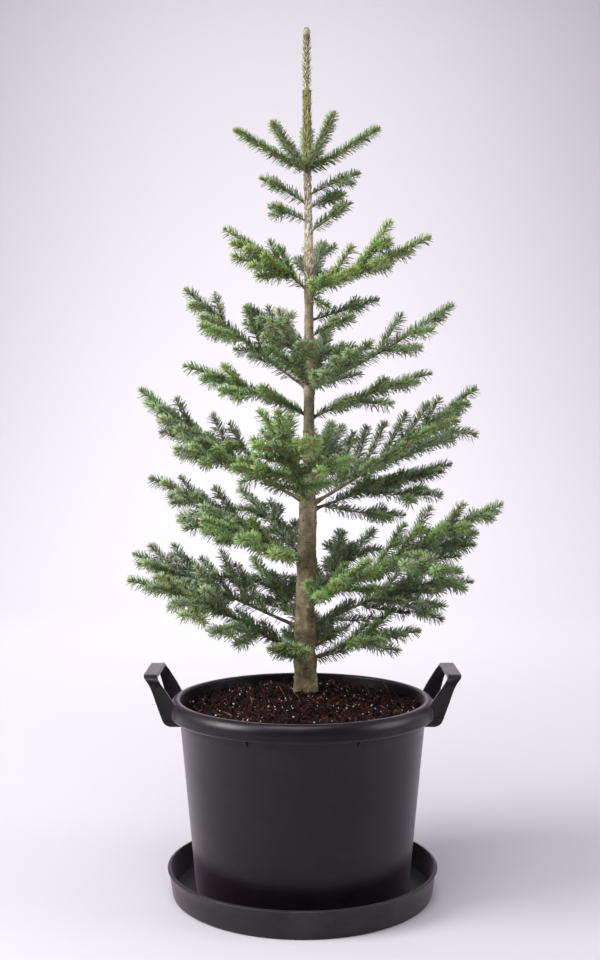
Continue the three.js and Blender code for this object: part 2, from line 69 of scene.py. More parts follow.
softboxes = [            # name, place, aimed at, size, spread, power, colour
    ("keyLeft", (-2.8, -1.0, 2.0), (0, 0, 0.9), 1.7, 180, 150, (1.0, 0.99, 0.97)),
    ("fillRight", (2.9, -0.6, 1.5), (0, 0, 0.8), 1.6, 180, 42, (0.98, 0.98, 1.0)),
    ("overhead", (-0.4, -1.2, 3.1), (0, 0, 0.7), 1.7, 180, 52, (1.0, 1.0, 1.0)),
    ("backdrop", (-0.1, 2.6, 4.2), (-0.45, 5.85, 0.70), 2.6, 150, 212, (1.0, 0.99, 1.0)),
]


def deselectAll():
    if bpy.context.object and bpy.context.object.mode != "OBJECT":
        bpy.ops.object.mode_set(mode="OBJECT")
    bpy.ops.object.select_all(action="DESELECT")


def placeCamera():
    place = (viewpoint["side"], -viewpoint["distance"], viewpoint["height"])
    bpy.ops.object.camera_add(location=place, rotation=(math.pi / 2, 0, 0))
    camera = bpy.context.object
    camera.name = "camera"
    camera.data.lens = viewpoint["lens"]
    camera.data.sensor_width = viewpoint["sensor"]
    camera.data.shift_y = viewpoint["shift"]
    camera.data.clip_end = 50
    bpy.context.scene.camera = camera


def placeLights():
    for name, place, target, size, spread, power, colour in softboxes:
        bpy.ops.object.light_add(type="AREA", location=place)
        light = bpy.context.object
        light.name = name
        light.data.size = size
        light.data.spread = math.radians(spread)
        light.data.energy = power
        light.data.color = colour
        aim = Vector(target) - Vector(place)
        light.rotation_euler = aim.to_track_quat("-Z", "Y").to_euler()
    world = bpy.data.worlds.new("studioDome")
    world.use_nodes = True
    tree = world.node_tree
    direction = addNode(tree, "TexCoord").outputs["Generated"]
    split = addNode(tree, "SeparateXYZ", {"Vector": direction})
    behind = addNode(tree, "MapRange", {"Value": split.outputs["Y"], "From Min": -0.6, "From Max": 0.4})
    room = mixColour(tree, behind.outputs[0], studio["frontDome"], studio["dome"])
    tree.links.new(room, tree.nodes["Background"].inputs["Color"])
    bpy.context.scene.world = world
    bpy.context.scene.view_settings.view_transform = "Standard"


# Shared shader effects

def newGroup(name, inputs, outputs):
    group = bpy.data.node_groups.new(name, "ShaderNodeTree")
    for socket, kind, value in inputs:
        made = group.interface.new_socket(name=socket, in_out="INPUT", socket_type=kind)
        if value is not None:
            made.default_value = value
    for socket, kind in outputs:
        group.interface.new_socket(name=socket, in_out="OUTPUT", socket_type=kind)
    return group, group.nodes.new("NodeGroupInput"), group.nodes.new("NodeGroupOutput")


def addNode(tree, kind, values=None, **settings):
    node = tree.nodes.new("ShaderNode" + kind)
    for key, value in settings.items():
        setattr(node, key, value)
    for key, value in (values or {}).items():
        if isinstance(value, bpy.types.NodeSocket):
            tree.links.new(value, node.inputs[key])
        else:
            node.inputs[key].default_value = value
    return node


def noiseNode(tree, vector, scale, detail=4.0, roughness=0.55, distortion=0.0):
    values = {"Vector": vector, "Scale": scale, "Detail": detail,
              "Roughness": roughness, "Distortion": distortion}
    return addNode(tree, "TexNoise", values)


def rampNode(tree, factor, stops):
    ramp = addNode(tree, "ValToRGB", {"Fac": factor})
    elements = ramp.color_ramp.elements
    while len(elements) < len(stops):
        elements.new(0.5)
    for element, (place, colour) in zip(elements, stops):
        element.position = place
        element.color = (*colour, 1) if len(colour) == 3 else colour
    return ramp


def mixColour(tree, factor, first, second, blend="MIX"):
    node = tree.nodes.new("ShaderNodeMix")
    node.data_type = "RGBA"
    node.blend_type = blend
    for socket, value in (("Factor_Float", factor), ("A_Color", first), ("B_Color", second)):
        target = next(s for s in node.inputs if s.identifier == socket)
        if isinstance(value, bpy.types.NodeSocket):
            tree.links.new(value, target)
        else:
            target.default_value = value if socket == "Factor_Float" else (*value, 1)
    return next(s for s in node.outputs if s.identifier == "Result_Color")


def buildMouldedGroup():
    # Fine grain and faint flow marks of moulded plastic, with dust in soft patches
    group, start, end = newGroup(
        "mouldedPlastic",
        [("Vector", "NodeSocketVector", None), ("Grain", "NodeSocketFloat", 1800.0),
         ("Dust", "NodeSocketFloat", 0.2)],
        [("Height", "NodeSocketFloat"), ("Wear", "NodeSocketFloat"), ("Dust", "NodeSocketFloat")],
    )
    grain = noiseNode(group, start.outputs["Vector"], 1.0, 2.0, 0.5)
    group.links.new(start.outputs["Grain"], grain.inputs["Scale"])
    stretch = addNode(group, "Mapping", {"Vector": start.outputs["Vector"], "Scale": (3.0, 3.0, 60.0)})
    flow = noiseNode(group, stretch.outputs["Vector"], 3.0, 3.0, 0.6)
    flowPart = addNode(group, "Math", {0: flow.outputs["Fac"], 1: 0.6}, operation="MULTIPLY")
    height = addNode(group, "Math", {0: grain.outputs["Fac"], 1: flowPart.outputs[0]}, operation="ADD")
    patches = noiseNode(group, start.outputs["Vector"], 14.0, 6.0, 0.62)
    spots = addNode(group, "MapRange", {"Value": patches.outputs["Fac"], "From Min": 0.5, "From Max": 0.72})
    dust = addNode(group, "Math", {0: spots.outputs[0], 1: start.outputs["Dust"]}, operation="MULTIPLY")
    scratches = addNode(group, "Mapping", {"Vector": start.outputs["Vector"], "Scale": (40.0, 40.0, 7.0),
                                           "Rotation": (0.4, 0.2, 0.7)})
    wear = noiseNode(group, scratches.outputs["Vector"], 5.0, 5.0, 0.7, 1.2)
    worn = addNode(group, "MapRange", {"Value": wear.outputs["Fac"], "From Min": 0.62, "From Max": 0.7})
    group.links.new(height.outputs[0], end.inputs["Height"])
    group.links.new(worn.outputs[0], end.inputs["Wear"])
    group.links.new(dust.outputs[0], end.inputs["Dust"])
    return group


def buildBarkGroup():
    # Young fir bark: blotches, short cross wrinkles and resin blisters
    group, start, end = newGroup(
        "firBark",
        [("Vector", "NodeSocketVector", None), ("Scale", "NodeSocketFloat", 1.0)],
        [("Blotch", "NodeSocketFloat"), ("Wrinkle", "NodeSocketFloat"), ("Height", "NodeSocketFloat")],
    )
    sized = addNode(group, "VectorMath", {0: start.outputs["Vector"]}, operation="SCALE")
    group.links.new(start.outputs["Scale"], sized.inputs["Scale"])
    blotch = noiseNode(group, sized.outputs[0], 38.0, 6.0, 0.66, 0.4)
    cross = addNode(group, "Mapping", {"Vector": sized.outputs[0], "Scale": (75.0, 75.0, 170.0)})
    wrinkle = noiseNode(group, cross.outputs["Vector"], 1.0, 4.0, 0.65, 0.6)
    blister = addNode(group, "TexVoronoi", {"Vector": sized.outputs[0], "Scale": 190.0})
    bump = addNode(group, "MapRange", {"Value": blister.outputs["Distance"], "From Min": 0.25,
                                       "From Max": 0.0, "To Max": 0.55})
    height = addNode(group, "Math", {0: wrinkle.outputs["Fac"], 1: bump.outputs[0]}, operation="ADD")
    group.links.new(blotch.outputs["Fac"], end.inputs["Blotch"])
    group.links.new(wrinkle.outputs["Fac"], end.inputs["Wrinkle"])
    group.links.new(height.outputs[0], end.inputs["Height"])
    return group


def buildCrumbGroup():
    # Damp broken bark and peat: tone changes from crumb to crumb
    group, start, end = newGroup(
        "peatCrumb",
        [("Vector", "NodeSocketVector", None), ("Scale", "NodeSocketFloat", 160.0)],
        [("Tone", "NodeSocketFloat"), ("Height", "NodeSocketFloat")],
    )
    coarse = noiseNode(group, start.outputs["Vector"], 1.0, 3.0, 0.6)
    group.links.new(start.outputs["Scale"], coarse.inputs["Scale"])
    fine = noiseNode(group, start.outputs["Vector"], 900.0, 3.0, 0.7)
    both = addNode(group, "Math", {0: fine.outputs["Fac"], 1: coarse.outputs["Fac"]}, operation="MULTIPLY")
    group.links.new(coarse.outputs["Fac"], end.inputs["Tone"])
    group.links.new(both.outputs[0], end.inputs["Height"])
    return group


def newMaterial(name, roughness, specular):
    material = bpy.data.materials.new(name)
    material.use_nodes = True
    shader = material.node_tree.nodes["Principled BSDF"]
    shader.inputs["Roughness"].default_value = roughness
    shader.inputs["Specular IOR Level"].default_value = specular
    return material, material.node_tree, shader


def objectPlace(tree):
    return addNode(tree, "TexCoord").outputs["Object"]


def addBump(tree, shader, height, strength, distance):
    values = {"Height": height, "Strength": strength, "Distance": distance}
    bump = addNode(tree, "Bump", values)
    tree.links.new(bump.outputs["Normal"], shader.inputs["Normal"])


plasticLook = {
    "specular": 0.30,
    "sheen": 0.30,
    "sheenRoughness": 0.35,
    "sheenTint": (0.90, 0.70, 0.90, 1.0),
    "dustColour": (0.21, 0.15, 0.19),
    "grain": 0.25,
    "grainDepth": 0.0004,
}


def plasticMaterial(name, colour, roughness, dustAmount):
    look = plasticLook
    material, tree, shader = newMaterial(name, roughness, look["specular"])
    moulded = addNode(tree, "Group", node_tree=groups["moulded"])
    tree.links.new(objectPlace(tree), moulded.inputs["Vector"])
    moulded.inputs["Dust"].default_value = dustAmount
    shader.inputs["Sheen Weight"].default_value = look["sheen"]
    shader.inputs["Sheen Roughness"].default_value = look["sheenRoughness"]
    shader.inputs["Sheen Tint"].default_value = look["sheenTint"]
    lighter = tuple(c * 2.2 + 0.002 for c in colour)
    worn = mixColour(tree, moulded.outputs["Wear"], colour, lighter)
    dusty = mixColour(tree, moulded.outputs["Dust"], worn, look["dustColour"])
    tree.links.new(dusty, shader.inputs["Base Color"])
    rough = addNode(tree, "MapRange", {"Value": moulded.outputs["Height"], "From Min": 0.5, "From Max": 1.1,
                                       "To Min": roughness - 0.06, "To Max": roughness + 0.1})
    tree.links.new(rough.outputs[0], shader.inputs["Roughness"])
    addBump(tree, shader, moulded.outputs["Height"], look["grain"], look["grainDepth"])
    return material


def barkMaterial(name, stops, scale, relief, paler=None):
    material, tree, shader = newMaterial(name, 0.85, 0.25)
    bark = addNode(tree, "Group", node_tree=groups["bark"])
    tree.links.new(objectPlace(tree), bark.inputs["Vector"])
    bark.inputs["Scale"].default_value = scale
    base = rampNode(tree, bark.outputs["Blotch"], stops)
    colour = base.outputs["Color"]
    if paler:            # low end, high end and colour of the paler wood above
        low, high, tint = paler
        height = addNode(tree, "SeparateXYZ", {"Vector": objectPlace(tree)}).outputs["Z"]
        higher = addNode(tree, "MapRange", {"Value": height, "From Min": low, "From Max": high})
        tinted = mixColour(tree, 1.0, colour, tint, "MULTIPLY")
        colour = mixColour(tree, higher.outputs[0], colour, tinted)
    # Painted shade: where the wrinkle pattern is low, in its creases, the colour is mixed towards a darker
    # copy of the first tone.
    creaseShadeColour = tuple(c * 0.8 for c in stops[0][1])
    wrinkle = bark.outputs["Wrinkle"]
    creaseShadeMask = addNode(tree, "MapRange", {"Value": wrinkle, "From Min": 0.42, "From Max": 0.30})
    shaded = mixColour(tree, creaseShadeMask.outputs[0], colour, creaseShadeColour)
    tree.links.new(shaded, shader.inputs["Base Color"])
    addBump(tree, shader, bark.outputs["Height"], relief, 0.0012)
    return material


def crumbMaterial(name, stops, scale):
    material, tree, shader = newMaterial(name, 0.82, 0.18)
    crumb = addNode(tree, "Group", node_tree=groups["crumb"])
    tree.links.new(objectPlace(tree), crumb.inputs["Vector"])
    crumb.inputs["Scale"].default_value = scale
    tone = rampNode(tree, crumb.outputs["Tone"], stops)
    tree.links.new(tone.outputs["Color"], shader.inputs["Base Color"])
    addBump(tree, shader, crumb.outputs["Height"], 0.6, 0.0008)
    return material


def plainMaterial(name, colour, roughness, specular):
    material = newMaterial(name, roughness, specular)[0]
    shader = material.node_tree.nodes["Principled BSDF"]
    shader.inputs["Base Color"].default_value = (*colour, 1)
    return material


# Making pieces

def finishPiece(piece, materials, nodes=(), smooth=None):
    piece.data.materials.clear()
    for material in materials:
        piece.data.materials.append(material)
    if smooth is not None:
        deselectAll()
        piece.select_set(True)
        bpy.context.view_layer.objects.active = piece
        bpy.ops.object.shade_smooth_by_angle(angle=math.radians(smooth))
    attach(piece, rootBody)
    if nodes:
        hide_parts(*nodes)
    return piece


def applyModifier(piece, name, kind, **settings):
    deselectAll()
    piece.select_set(True)
    bpy.context.view_layer.objects.active = piece
    modifier = piece.modifiers.new(name, kind)
    for key, value in settings.items():
        setattr(modifier, key, value)
    bpy.ops.object.modifier_apply(modifier=modifier.name)


def selectFaces(piece, wanted):
    # In edit mode: only the faces that wanted(face) picks stay selected
    mesh = bmesh.from_edit_mesh(piece.data)
    for face in mesh.faces:
        face.select_set(False)
    for face in mesh.faces:
        if wanted(face):
            face.select_set(True)
    bmesh.update_edit_mesh(piece.data)


def extrudeTo(piece, ring, nextRing):
    # Extrudes the end face and puts each of its corners at its place in the next ring
    bpy.ops.mesh.extrude_region_move()
    mesh = bmesh.from_edit_mesh(piece.data)
    for vert in [v for v in mesh.verts if v.select]:
        nearest = min(range(len(ring)), key=lambda i: (ring[i] - vert.co).length_squared)
        vert.co = nextRing[nearest]
    bmesh.update_edit_mesh(piece.data)


def loftedPiece(name, rings):
    # Starts from a filled circle, extrudes its face from ring to ring and closes both ends
    deselectAll()
    bpy.ops.mesh.primitive_circle_add(vertices=len(rings[0]), radius=1, fill_type="NGON")
    piece = bpy.context.object
    piece.name = piece.data.name = name
    for vert, place in zip(piece.data.vertices, rings[0]):
        vert.co = place
    bpy.ops.object.mode_set(mode="EDIT")
    bpy.ops.mesh.select_mode(type="FACE")
    bpy.ops.mesh.select_all(action="SELECT")
    for ring, nextRing in zip(rings, rings[1:]):
        extrudeTo(piece, ring, nextRing)
    bpy.ops.mesh.select_all(action="SELECT")
    bpy.ops.mesh.normals_make_consistent(inside=False)
    bpy.ops.object.mode_set(mode="OBJECT")
    return piece


def roundRing(radius, height, sides, centre=(0.0, 0.0), wave=None):
    ring = []
    for i in range(sides):
        turn = 2 * math.pi * i / sides
        reach = radius * (1 + (wave(turn, height) if wave else 0))
        ring.append(Vector((centre[0] + reach * math.cos(turn), centre[1] + reach * math.sin(turn), height)))
    return ring


def turnedPiece(name, profile, sides):
    return loftedPiece(name, [roundRing(radius, height, sides) for radius, height in profile])


def arc(centre, radius, start, end, count):
    # Points of a round edge in the turned outline, angles in degrees from the horizontal
    steps = [math.radians(start + (end - start) * i / count) for i in range(count + 1)]
    return [(centre[0] + radius * math.cos(a), centre[1] + radius * math.sin(a)) for a in steps]


def valueAt(rows, place):
    # Reads a table of pairs, straight from one row to the next
    return float(np.interp(place, [row[0] for row in rows], [row[1] for row in rows]))


def joinPieces(pieces, name):
    deselectAll()
    for piece in pieces:
        piece.select_set(True)
    bpy.context.view_layer.objects.active = pieces[0]
    bpy.ops.object.join()
    pieces[0].name = pieces[0].data.name = name
    return pieces[0]


def arrayPiece(name, points, triangles, slots=None):
    mesh = bpy.data.meshes.new(name)
    mesh.vertices.add(len(points))
    mesh.vertices.foreach_set("co", np.asarray(points, dtype=np.float32).ravel())
    mesh.loops.add(len(triangles) * 3)
    mesh.loops.foreach_set("vertex_index", np.asarray(triangles, dtype=np.int32).ravel())
    mesh.polygons.add(len(triangles))
    mesh.polygons.foreach_set("loop_start", np.arange(0, len(triangles) * 3, 3, dtype=np.int32))
    if slots is not None:
        mesh.polygons.foreach_set("material_index", np.asarray(slots, dtype=np.int32))
    mesh.update(calc_edges=True)
    piece = bpy.data.objects.new(name, mesh)
    bpy.context.collection.objects.link(piece)
    return piece


def joinArrays(parts):
    # Several point and triangle arrays as one pair
    points, triangles, offset = [], [], 0
    for somePoints, someTriangles in parts:
        points.append(somePoints)
        triangles.append(someTriangles + offset)
        offset += len(somePoints)
    return np.concatenate(points), np.concatenate(triangles)


# Stage

def buildStage():
    deselectAll()
    size = studio["floorSize"]
    bpy.ops.mesh.primitive_plane_add(size=size, location=(0, studio["wallAt"] - size / 2, 0))
    sweep = bpy.context.object
    sweep.name = sweep.data.name = "studioSweep"
    bpy.ops.object.transform_apply(location=True, rotation=False, scale=False)
    bpy.ops.object.mode_set(mode="EDIT")
    mesh = bmesh.from_edit_mesh(sweep.data)
    for edge in mesh.edges:
        edge.select_set(all(v.co.y > studio["wallAt"] - 0.01 for v in edge.verts))
    bmesh.update_edit_mesh(sweep.data)
    bpy.ops.mesh.select_mode(type="EDGE")
    rise = {"value": (0, 0, studio["wallHeight"])}
    bpy.ops.mesh.extrude_region_move(TRANSFORM_OT_translate=rise)
    mesh = bmesh.from_edit_mesh(sweep.data)
    for edge in mesh.edges:
        low = all(abs(v.co.z) < 0.01 for v in edge.verts)
        edge.select_set(low and all(v.co.y > studio["wallAt"] - 0.01 for v in edge.verts))
    bmesh.update_edit_mesh(sweep.data)
    bpy.ops.mesh.bevel(offset=studio["sweepRadius"], segments=24, affect="EDGES")
    bpy.ops.mesh.select_all(action="SELECT")
    bpy.ops.mesh.faces_shade_smooth()
    bpy.ops.object.mode_set(mode="OBJECT")
    paper, tree, shader = newMaterial("studioPaper", 0.9, 0.1)
    fibres = noiseNode(tree, objectPlace(tree), 3.0, 2.0, 0.5)
    darker = tuple(c * 0.985 for c in studio["paper"])
    tone = mixColour(tree, fibres.outputs["Fac"], studio["paper"], darker)
    tree.links.new(tone, shader.inputs["Base Color"])
    sweep.data.materials.append(paper)


placeCamera()
placeLights()
buildStage()
groups = {"moulded": buildMouldedGroup(), "bark": buildBarkGroup(), "crumb": buildCrumbGroup()}
print("camera, lights and sweep are in place")


# Tub, saucer and handles

tubSet = {
    "colour": (0.0040, 0.0018, 0.0040),
    "roughness": 0.31,
    "dust": 0.02,
    "foot": 0.190,
    "footBend": 0.004,
    "under": 0.0049,
    "recess": 0.0012,          # the hollow of the underside
    "recessEdge": 0.165,
    "disc": 0.06,              # the flat middle of the underside and of the floor
    "widening": 0.0965,
    "wall": 0.0040,
    "wallRings": (0.03, 0.09, 0.16, 0.23),
    "floor": 0.0050,
    "rimRadius": 0.238,
    "rimTop": 0.347,
    "rimDepth": 0.031,
    "rimUnder": 0.2290,
    "rimBend": 0.0052,
    "lipInner": 0.219,
    "lipBend": 0.0044,
    "shoulder": (0.0130, 0.0195),
    "band": 0.0012,            # the slightly proud band under the rim
    "bandDepth": 0.013,
    "sides": 144,
    "gussetSpread": 24.7,
    "gussetReach": 0.0115,
    "gussetDrop": 0.012,
    "gussetThick": 0.003,
    "gussetFoot": 0.003,
    "gussetSunk": 0.0015,
}

saucerSet = {
    "colour": (0.0120, 0.0098, 0.0105),
    "roughness": 0.44,
    "dust": 0.08,
    "base": 0.232,
    "baseBend": 0.004,
    "recess": 0.0010,
    "disc": 0.10,
    "top": 0.239,
    "height": 0.050,
    "floor": 0.0046,
    "floorBend": 0.005,
    "wall": 0.0034,
    "lip": 0.0004,             # how far the lip's middle stands out from the wall
    "sides": 144,
}

strapSet = {
    "thick": 0.0055,
    "foot": 0.3055,
    "grip": 0.394,
    "footSpan": 0.058,
    "shoulder": 0.073,
    "lean": 0.002,
    "corner": 0.019,
    "legRings": 14,
    "bendRings": 9,
    "channel": 0.0046,
    "channelDepth": 0.0016,
    "channelClear": 0.006,
    "round": 0.0013,
}
# Height, and how far the strap's inner and outer faces stand from the tub's middle there
strapInner = [(0.3055, 0.2112), (0.316, 0.2135), (0.343, 0.2225), (0.360, 0.2325), (0.377, 0.244),
              (0.388, 0.2515), (0.394, 0.2545), (0.397, 0.2555)]
strapOuter = [(0.3055, 0.2320), (0.3062, 0.2355), (0.3085, 0.2400), (0.3120, 0.2433), (0.318, 0.2460),
              (0.345, 0.2550), (0.369, 0.2625), (0.377, 0.2655), (0.383, 0.2690), (0.388, 0.2730),
              (0.392, 0.2768), (0.397, 0.2785)]


def tubRadius(height):
    return tubSet["foot"] + (height - tubSet["under"]) * tubSet["widening"]


def tubProfile():
    # From the middle of the underside out, up the wall, over the rim and down inside to the floor
    s = tubSet
    rimBottom = s["rimTop"] - s["rimDepth"]
    bandLow = rimBottom - s["bandDepth"]
    hollow = s["under"] + s["recess"]
    outer = [(s["disc"], hollow), (s["recessEdge"], hollow), (s["recessEdge"] + 0.003, s["under"])]
    outer += arc((s["foot"] - s["footBend"], s["under"] + s["footBend"]), s["footBend"], -90, -5, 6)
    outer += [(tubRadius(z), z) for z in (*s["wallRings"], bandLow - 0.003)]
    outer += [(tubRadius(bandLow) + s["band"], bandLow)]
    outer += [(tubRadius(rimBottom) + s["band"], rimBottom + 0.001)]
    face = s["rimRadius"] - 0.0004
    rim = [(s["rimUnder"], rimBottom + 0.0004)]
    rim += arc((s["rimRadius"] - s["rimBend"], rimBottom + s["rimBend"] + 0.0004), s["rimBend"], -86, 12, 8)
    rim += [(face, rimBottom + 0.0095)]
    wide, deep = s["shoulder"]
    quarter = arc((0, 0), 1, 3, 88, 16)
    rim += [(face - wide * (1 - x), s["rimTop"] - deep * (1 - z)) for x, z in quarter]
    rim += arc((s["lipInner"] + s["lipBend"], s["rimTop"] - s["lipBend"] - 0.0002), s["lipBend"], 94, 178, 7)
    floor = s["under"] + s["floor"]
    inner = [(s["lipInner"] - 0.0003, rimBottom + 0.008)]
    inner += [(tubRadius(rimBottom) - s["wall"], rimBottom - 0.002)]
    inner += [(tubRadius(z) - s["wall"], z) for z in (0.25, 0.12, floor + 0.004)]
    inner += [(tubRadius(s["under"]) - s["wall"] - 0.006, floor), (s["disc"], floor)]
    return outer + rim + inner


def buildGusset(azimuth):
    # A thin three-cornered rib between the wall and the rim's underside
    s = tubSet
    top = s["rimTop"] - s["rimDepth"] + 0.0008
    inside = tubRadius(top) - s["gussetSunk"]
    low = top - s["gussetDrop"]
    outline = [(inside, top), (inside, low),
               (inside + s["gussetFoot"], low), (inside + s["gussetReach"], top)]
    half = s["gussetThick"] / 2
    rings = [[Vector((x, y, z)) for x, z in outline] for y in (-half, half)]
    plate = loftedPiece("gusset", rings)
    plate.data.transform(Matrix.Rotation(math.radians(azimuth), 4, "Z"))
    applyModifier(plate, "edges", "BEVEL", width=0.0005, segments=2)
    return plate


def buildTub():
    s = tubSet
    plastic = plasticMaterial("tubPlastic", s["colour"], s["roughness"], s["dust"])
    tub = turnedPiece("tubWall", tubProfile(), s["sides"])
    front, back = 270, 90
    plates = [buildGusset(facing + side * s["gussetSpread"]) for facing in (front, back) for side in (-1, 1)]
    tub = joinPieces([tub, *plates], "tubBody")
    finishPiece(tub, [plastic], ["tub"], 32)
    return plastic


def saucerProfile():
    # From the middle of the underside out, up the flaring wall, over the lip and down inside
    s = saucerSet
    slope = (s["top"] - s["base"]) / s["height"]
    lip = s["top"] + s["lip"]
    inside = s["base"] - s["wall"]
    profile = [(s["disc"], s["recess"]), (s["base"] - 0.016, s["recess"]), (s["base"] - 0.014, 0.0)]
    profile += arc((s["base"] - s["baseBend"], s["baseBend"]), s["baseBend"], -90, -8, 6)
    profile += [(s["base"] + slope * z, z) for z in (0.012, 0.026, s["height"] - 0.0085)]
    profile += [(lip, s["height"] - 0.0065)]
    profile += arc((lip, s["height"] - 0.0030), 0.0018, -80, 80, 6)
    profile += arc((s["top"] - 0.0022, s["height"] - 0.0014), 0.0012, 80, 175, 4)
    profile += [(inside + slope * z, z) for z in (0.030, s["floor"] + 0.006)]
    profile += arc((inside - s["floorBend"], s["floor"] + s["floorBend"]), s["floorBend"], -10, -88, 5)
    return profile + [(s["disc"], s["floor"])]


def buildSaucer():
    s = saucerSet
    saucer = turnedPiece("saucerBody", saucerProfile(), s["sides"])
    plastic = plasticMaterial("saucerPlastic", s["colour"], s["roughness"], s["dust"])
    finishPiece(saucer, [plastic], ["saucer"], 32)


def strapRoute():
    # Route of the strap seen from the side: up one leg, along the grip and down the other
    s = strapSet
    bendFoot = s["grip"] - s["corner"]
    legTop = s["shoulder"] - s["lean"]
    right = []
    for i in range(s["legRings"]):
        share = (i / s["legRings"]) ** 1.5
        right.append(Vector((s["footSpan"] + (legTop - s["footSpan"]) * share,
                             s["foot"] + (bendFoot - s["foot"]) * share)))
    start = Vector((legTop, bendFoot))
    middle = Vector((s["shoulder"], s["grip"]))
    end = Vector((s["shoulder"] - s["corner"], s["grip"]))
    for i in range(s["bendRings"] + 1):
        t = i / s["bendRings"]
        right.append(start * (1 - t) ** 2 + middle * 2 * t * (1 - t) + end * t * t)
    right += [Vector((end.x * share, s["grip"])) for share in (0.6, 0.2)]
    return [Vector((-p.x, p.y)) for p in right] + right[::-1]


def strapRings():
    route = strapRoute()
    rings = []
    for i, place in enumerate(route):
        along = (route[min(len(route) - 1, i + 1)] - route[max(0, i - 1)]).normalized()
        half = Vector((-along.y, along.x)) * strapSet["thick"] / 2
        ring = []
        for part, face in ((half, strapOuter), (-half, strapOuter), (-half, strapInner), (half, strapInner)):
            spot = place + part
            ring.append(Vector((valueAt(face, spot.y), spot.x, spot.y)))
        rings.append(ring)
    return rings


def pressChannels(strap):
    # The shallow channel down each side of each leg
    s = strapSet
    low, high = s["foot"] + s["channelClear"], s["grip"] - s["corner"] - s["lean"]

    def legSide(face, facing, end):
        middle = face.calc_center_median()
        turned = face.normal.y * facing > 0.8
        return turned and middle.y * end > 0 and low < middle.z < high

    bpy.ops.object.mode_set(mode="EDIT")
    for facing in (-1, 1):
        for end in (-1, 1):
            selectFaces(strap, lambda face: legSide(face, facing, end))
            bpy.ops.mesh.inset(thickness=s["channel"], depth=-s["channelDepth"])
    bpy.ops.object.mode_set(mode="OBJECT")


def buildStrap(side, plastic):
    name = "left" if side < 0 else "right"
    strap = loftedPiece("strap_" + name, strapRings())
    pressChannels(strap)
    applyModifier(strap, "edges", "BEVEL", width=strapSet["round"], segments=3,
                  limit_method="ANGLE", angle_limit=0.6)
    if side < 0:
        strap.data.transform(Matrix.Rotation(math.pi, 4, "Z"))
    finishPiece(strap, [plastic], ["handle_" + name], 40)


tubPlastic = buildTub()
buildSaucer()
for handleSide in (-1, 1):
    buildStrap(handleSide, tubPlastic)
print("tub, saucer and straps are made")


# Trunk

trunkSet = {
    "tones": [(0.28, (0.072, 0.056, 0.029)), (0.42, (0.150, 0.120, 0.066)),
              (0.55, (0.232, 0.193, 0.110)), (0.68, (0.390, 0.328, 0.205))],
    "paler": (0.32, 0.80, (1.38, 1.38, 1.60)),
    "relief": 0.0016,
    "depth": 0.045,
    "foot": 0.3423,
    "tip": 1.565,
    "sides": 28,
    "ringEvery": 0.009,
    "collarSwell": 0.16,
    "collarHalf": 0.016,
    "budNeck": 1.543,
    "budWidest": 1.557,
    "budRadius": 0.0068,
}
centreLine = [           # height, and how far the trunk's middle is to the right there
    (0.340, 0.0057), (0.500, 0.0053), (0.583, 0.008), (0.692, 0.0102), (0.850, 0.012),
    (1.080, 0.012), (1.207, 0.011), (1.300, 0.0086), (1.565, 0.0075),
]
trunkThickness = [       # height and radius
    (0.342, 0.025), (0.353, 0.0226), (0.385, 0.020), (0.430, 0.0182), (0.620, 0.017), (0.680, 0.016),
    (0.705, 0.013), (0.780, 0.0112), (0.880, 0.0096), (0.940, 0.009), (1.080, 0.008), (1.140, 0.0074),
    (1.207, 0.006), (1.293, 0.0054), (1.309, 0.0045), (1.541, 0.003),
]
collarHeights = [0.402, 0.460, 0.583, 0.692, 0.901, 1.081, 1.300]


def trunkX(height):
    return valueAt(centreLine, height)


def trunkRadius(height):
    radius = valueAt(trunkThickness, height)
    for place in collarHeights:
        near = max(0.0, 1 - abs(height - place) / trunkSet["collarHalf"])
        radius *= 1 + trunkSet["collarSwell"] * near * near * (3 - 2 * near)
    return radius


def trunkRings():
    s = trunkSet
    heights = [s["foot"]]
    while heights[-1] + s["ringEvery"] < s["budNeck"] - 0.002:
        heights.append(heights[-1] + s["ringEvery"])
    rings = [(z, trunkRadius(z)) for z in heights]
    neck, widest, bud = s["budNeck"], s["budWidest"], s["budRadius"]
    rings.append((neck, 0.003))
    for share, thick in ((0.3, 0.68), (0.6, 0.92), (1.0, 1.0), (1.3, 0.88), (1.48, 0.66)):
        rings.append((neck + (widest - neck) * share, bud * thick))
    rings.append((s["tip"], 0.0014))

    def fluting(turn, height):
        fade = max(0.0, 1 - (height - s["foot"]) / 0.05)
        return 0.05 * fade * math.sin(5 * turn + 0.8) + 0.02 * math.sin(3 * turn + 9 * height)

    return [roundRing(r, z, s["sides"], (trunkX(z), s["depth"]), fluting) for z, r in rings]


def barkRelief(piece, strength):
    # Wrinkles, blisters and blotches as real relief, finer where the stem is thin
    mesh = piece.data
    normals = [vert.normal.copy() for vert in mesh.vertices]
    moves = []
    for vert in mesh.vertices:
        z = vert.co.z
        if z < trunkSet["foot"] + 0.0005 or z > trunkSet["budNeck"]:
            moves.append(0.0)
            continue
        thin = min(1.0, trunkRadius(z) / 0.016)
        p = vert.co
        wrinkle = noise.noise(Vector((p.x * 90, p.y * 90, p.z * 330)))
        lump = noise.noise(Vector((p.x * 60 + 7, p.y * 60, p.z * 45)))
        grain = noise.noise(Vector((p.x * 420, p.y * 420, p.z * 520)))
        blister = max(0.0, noise.noise(Vector((p.x * 150 + 31, p.y * 150, p.z * 190))) - 0.32) * 3.2
        moves.append(strength * thin * (0.42 * wrinkle + 0.75 * lump + 0.28 * grain + 0.8 * blister))
    for vert, normal, move in zip(mesh.vertices, normals, moves):
        vert.co += normal * move


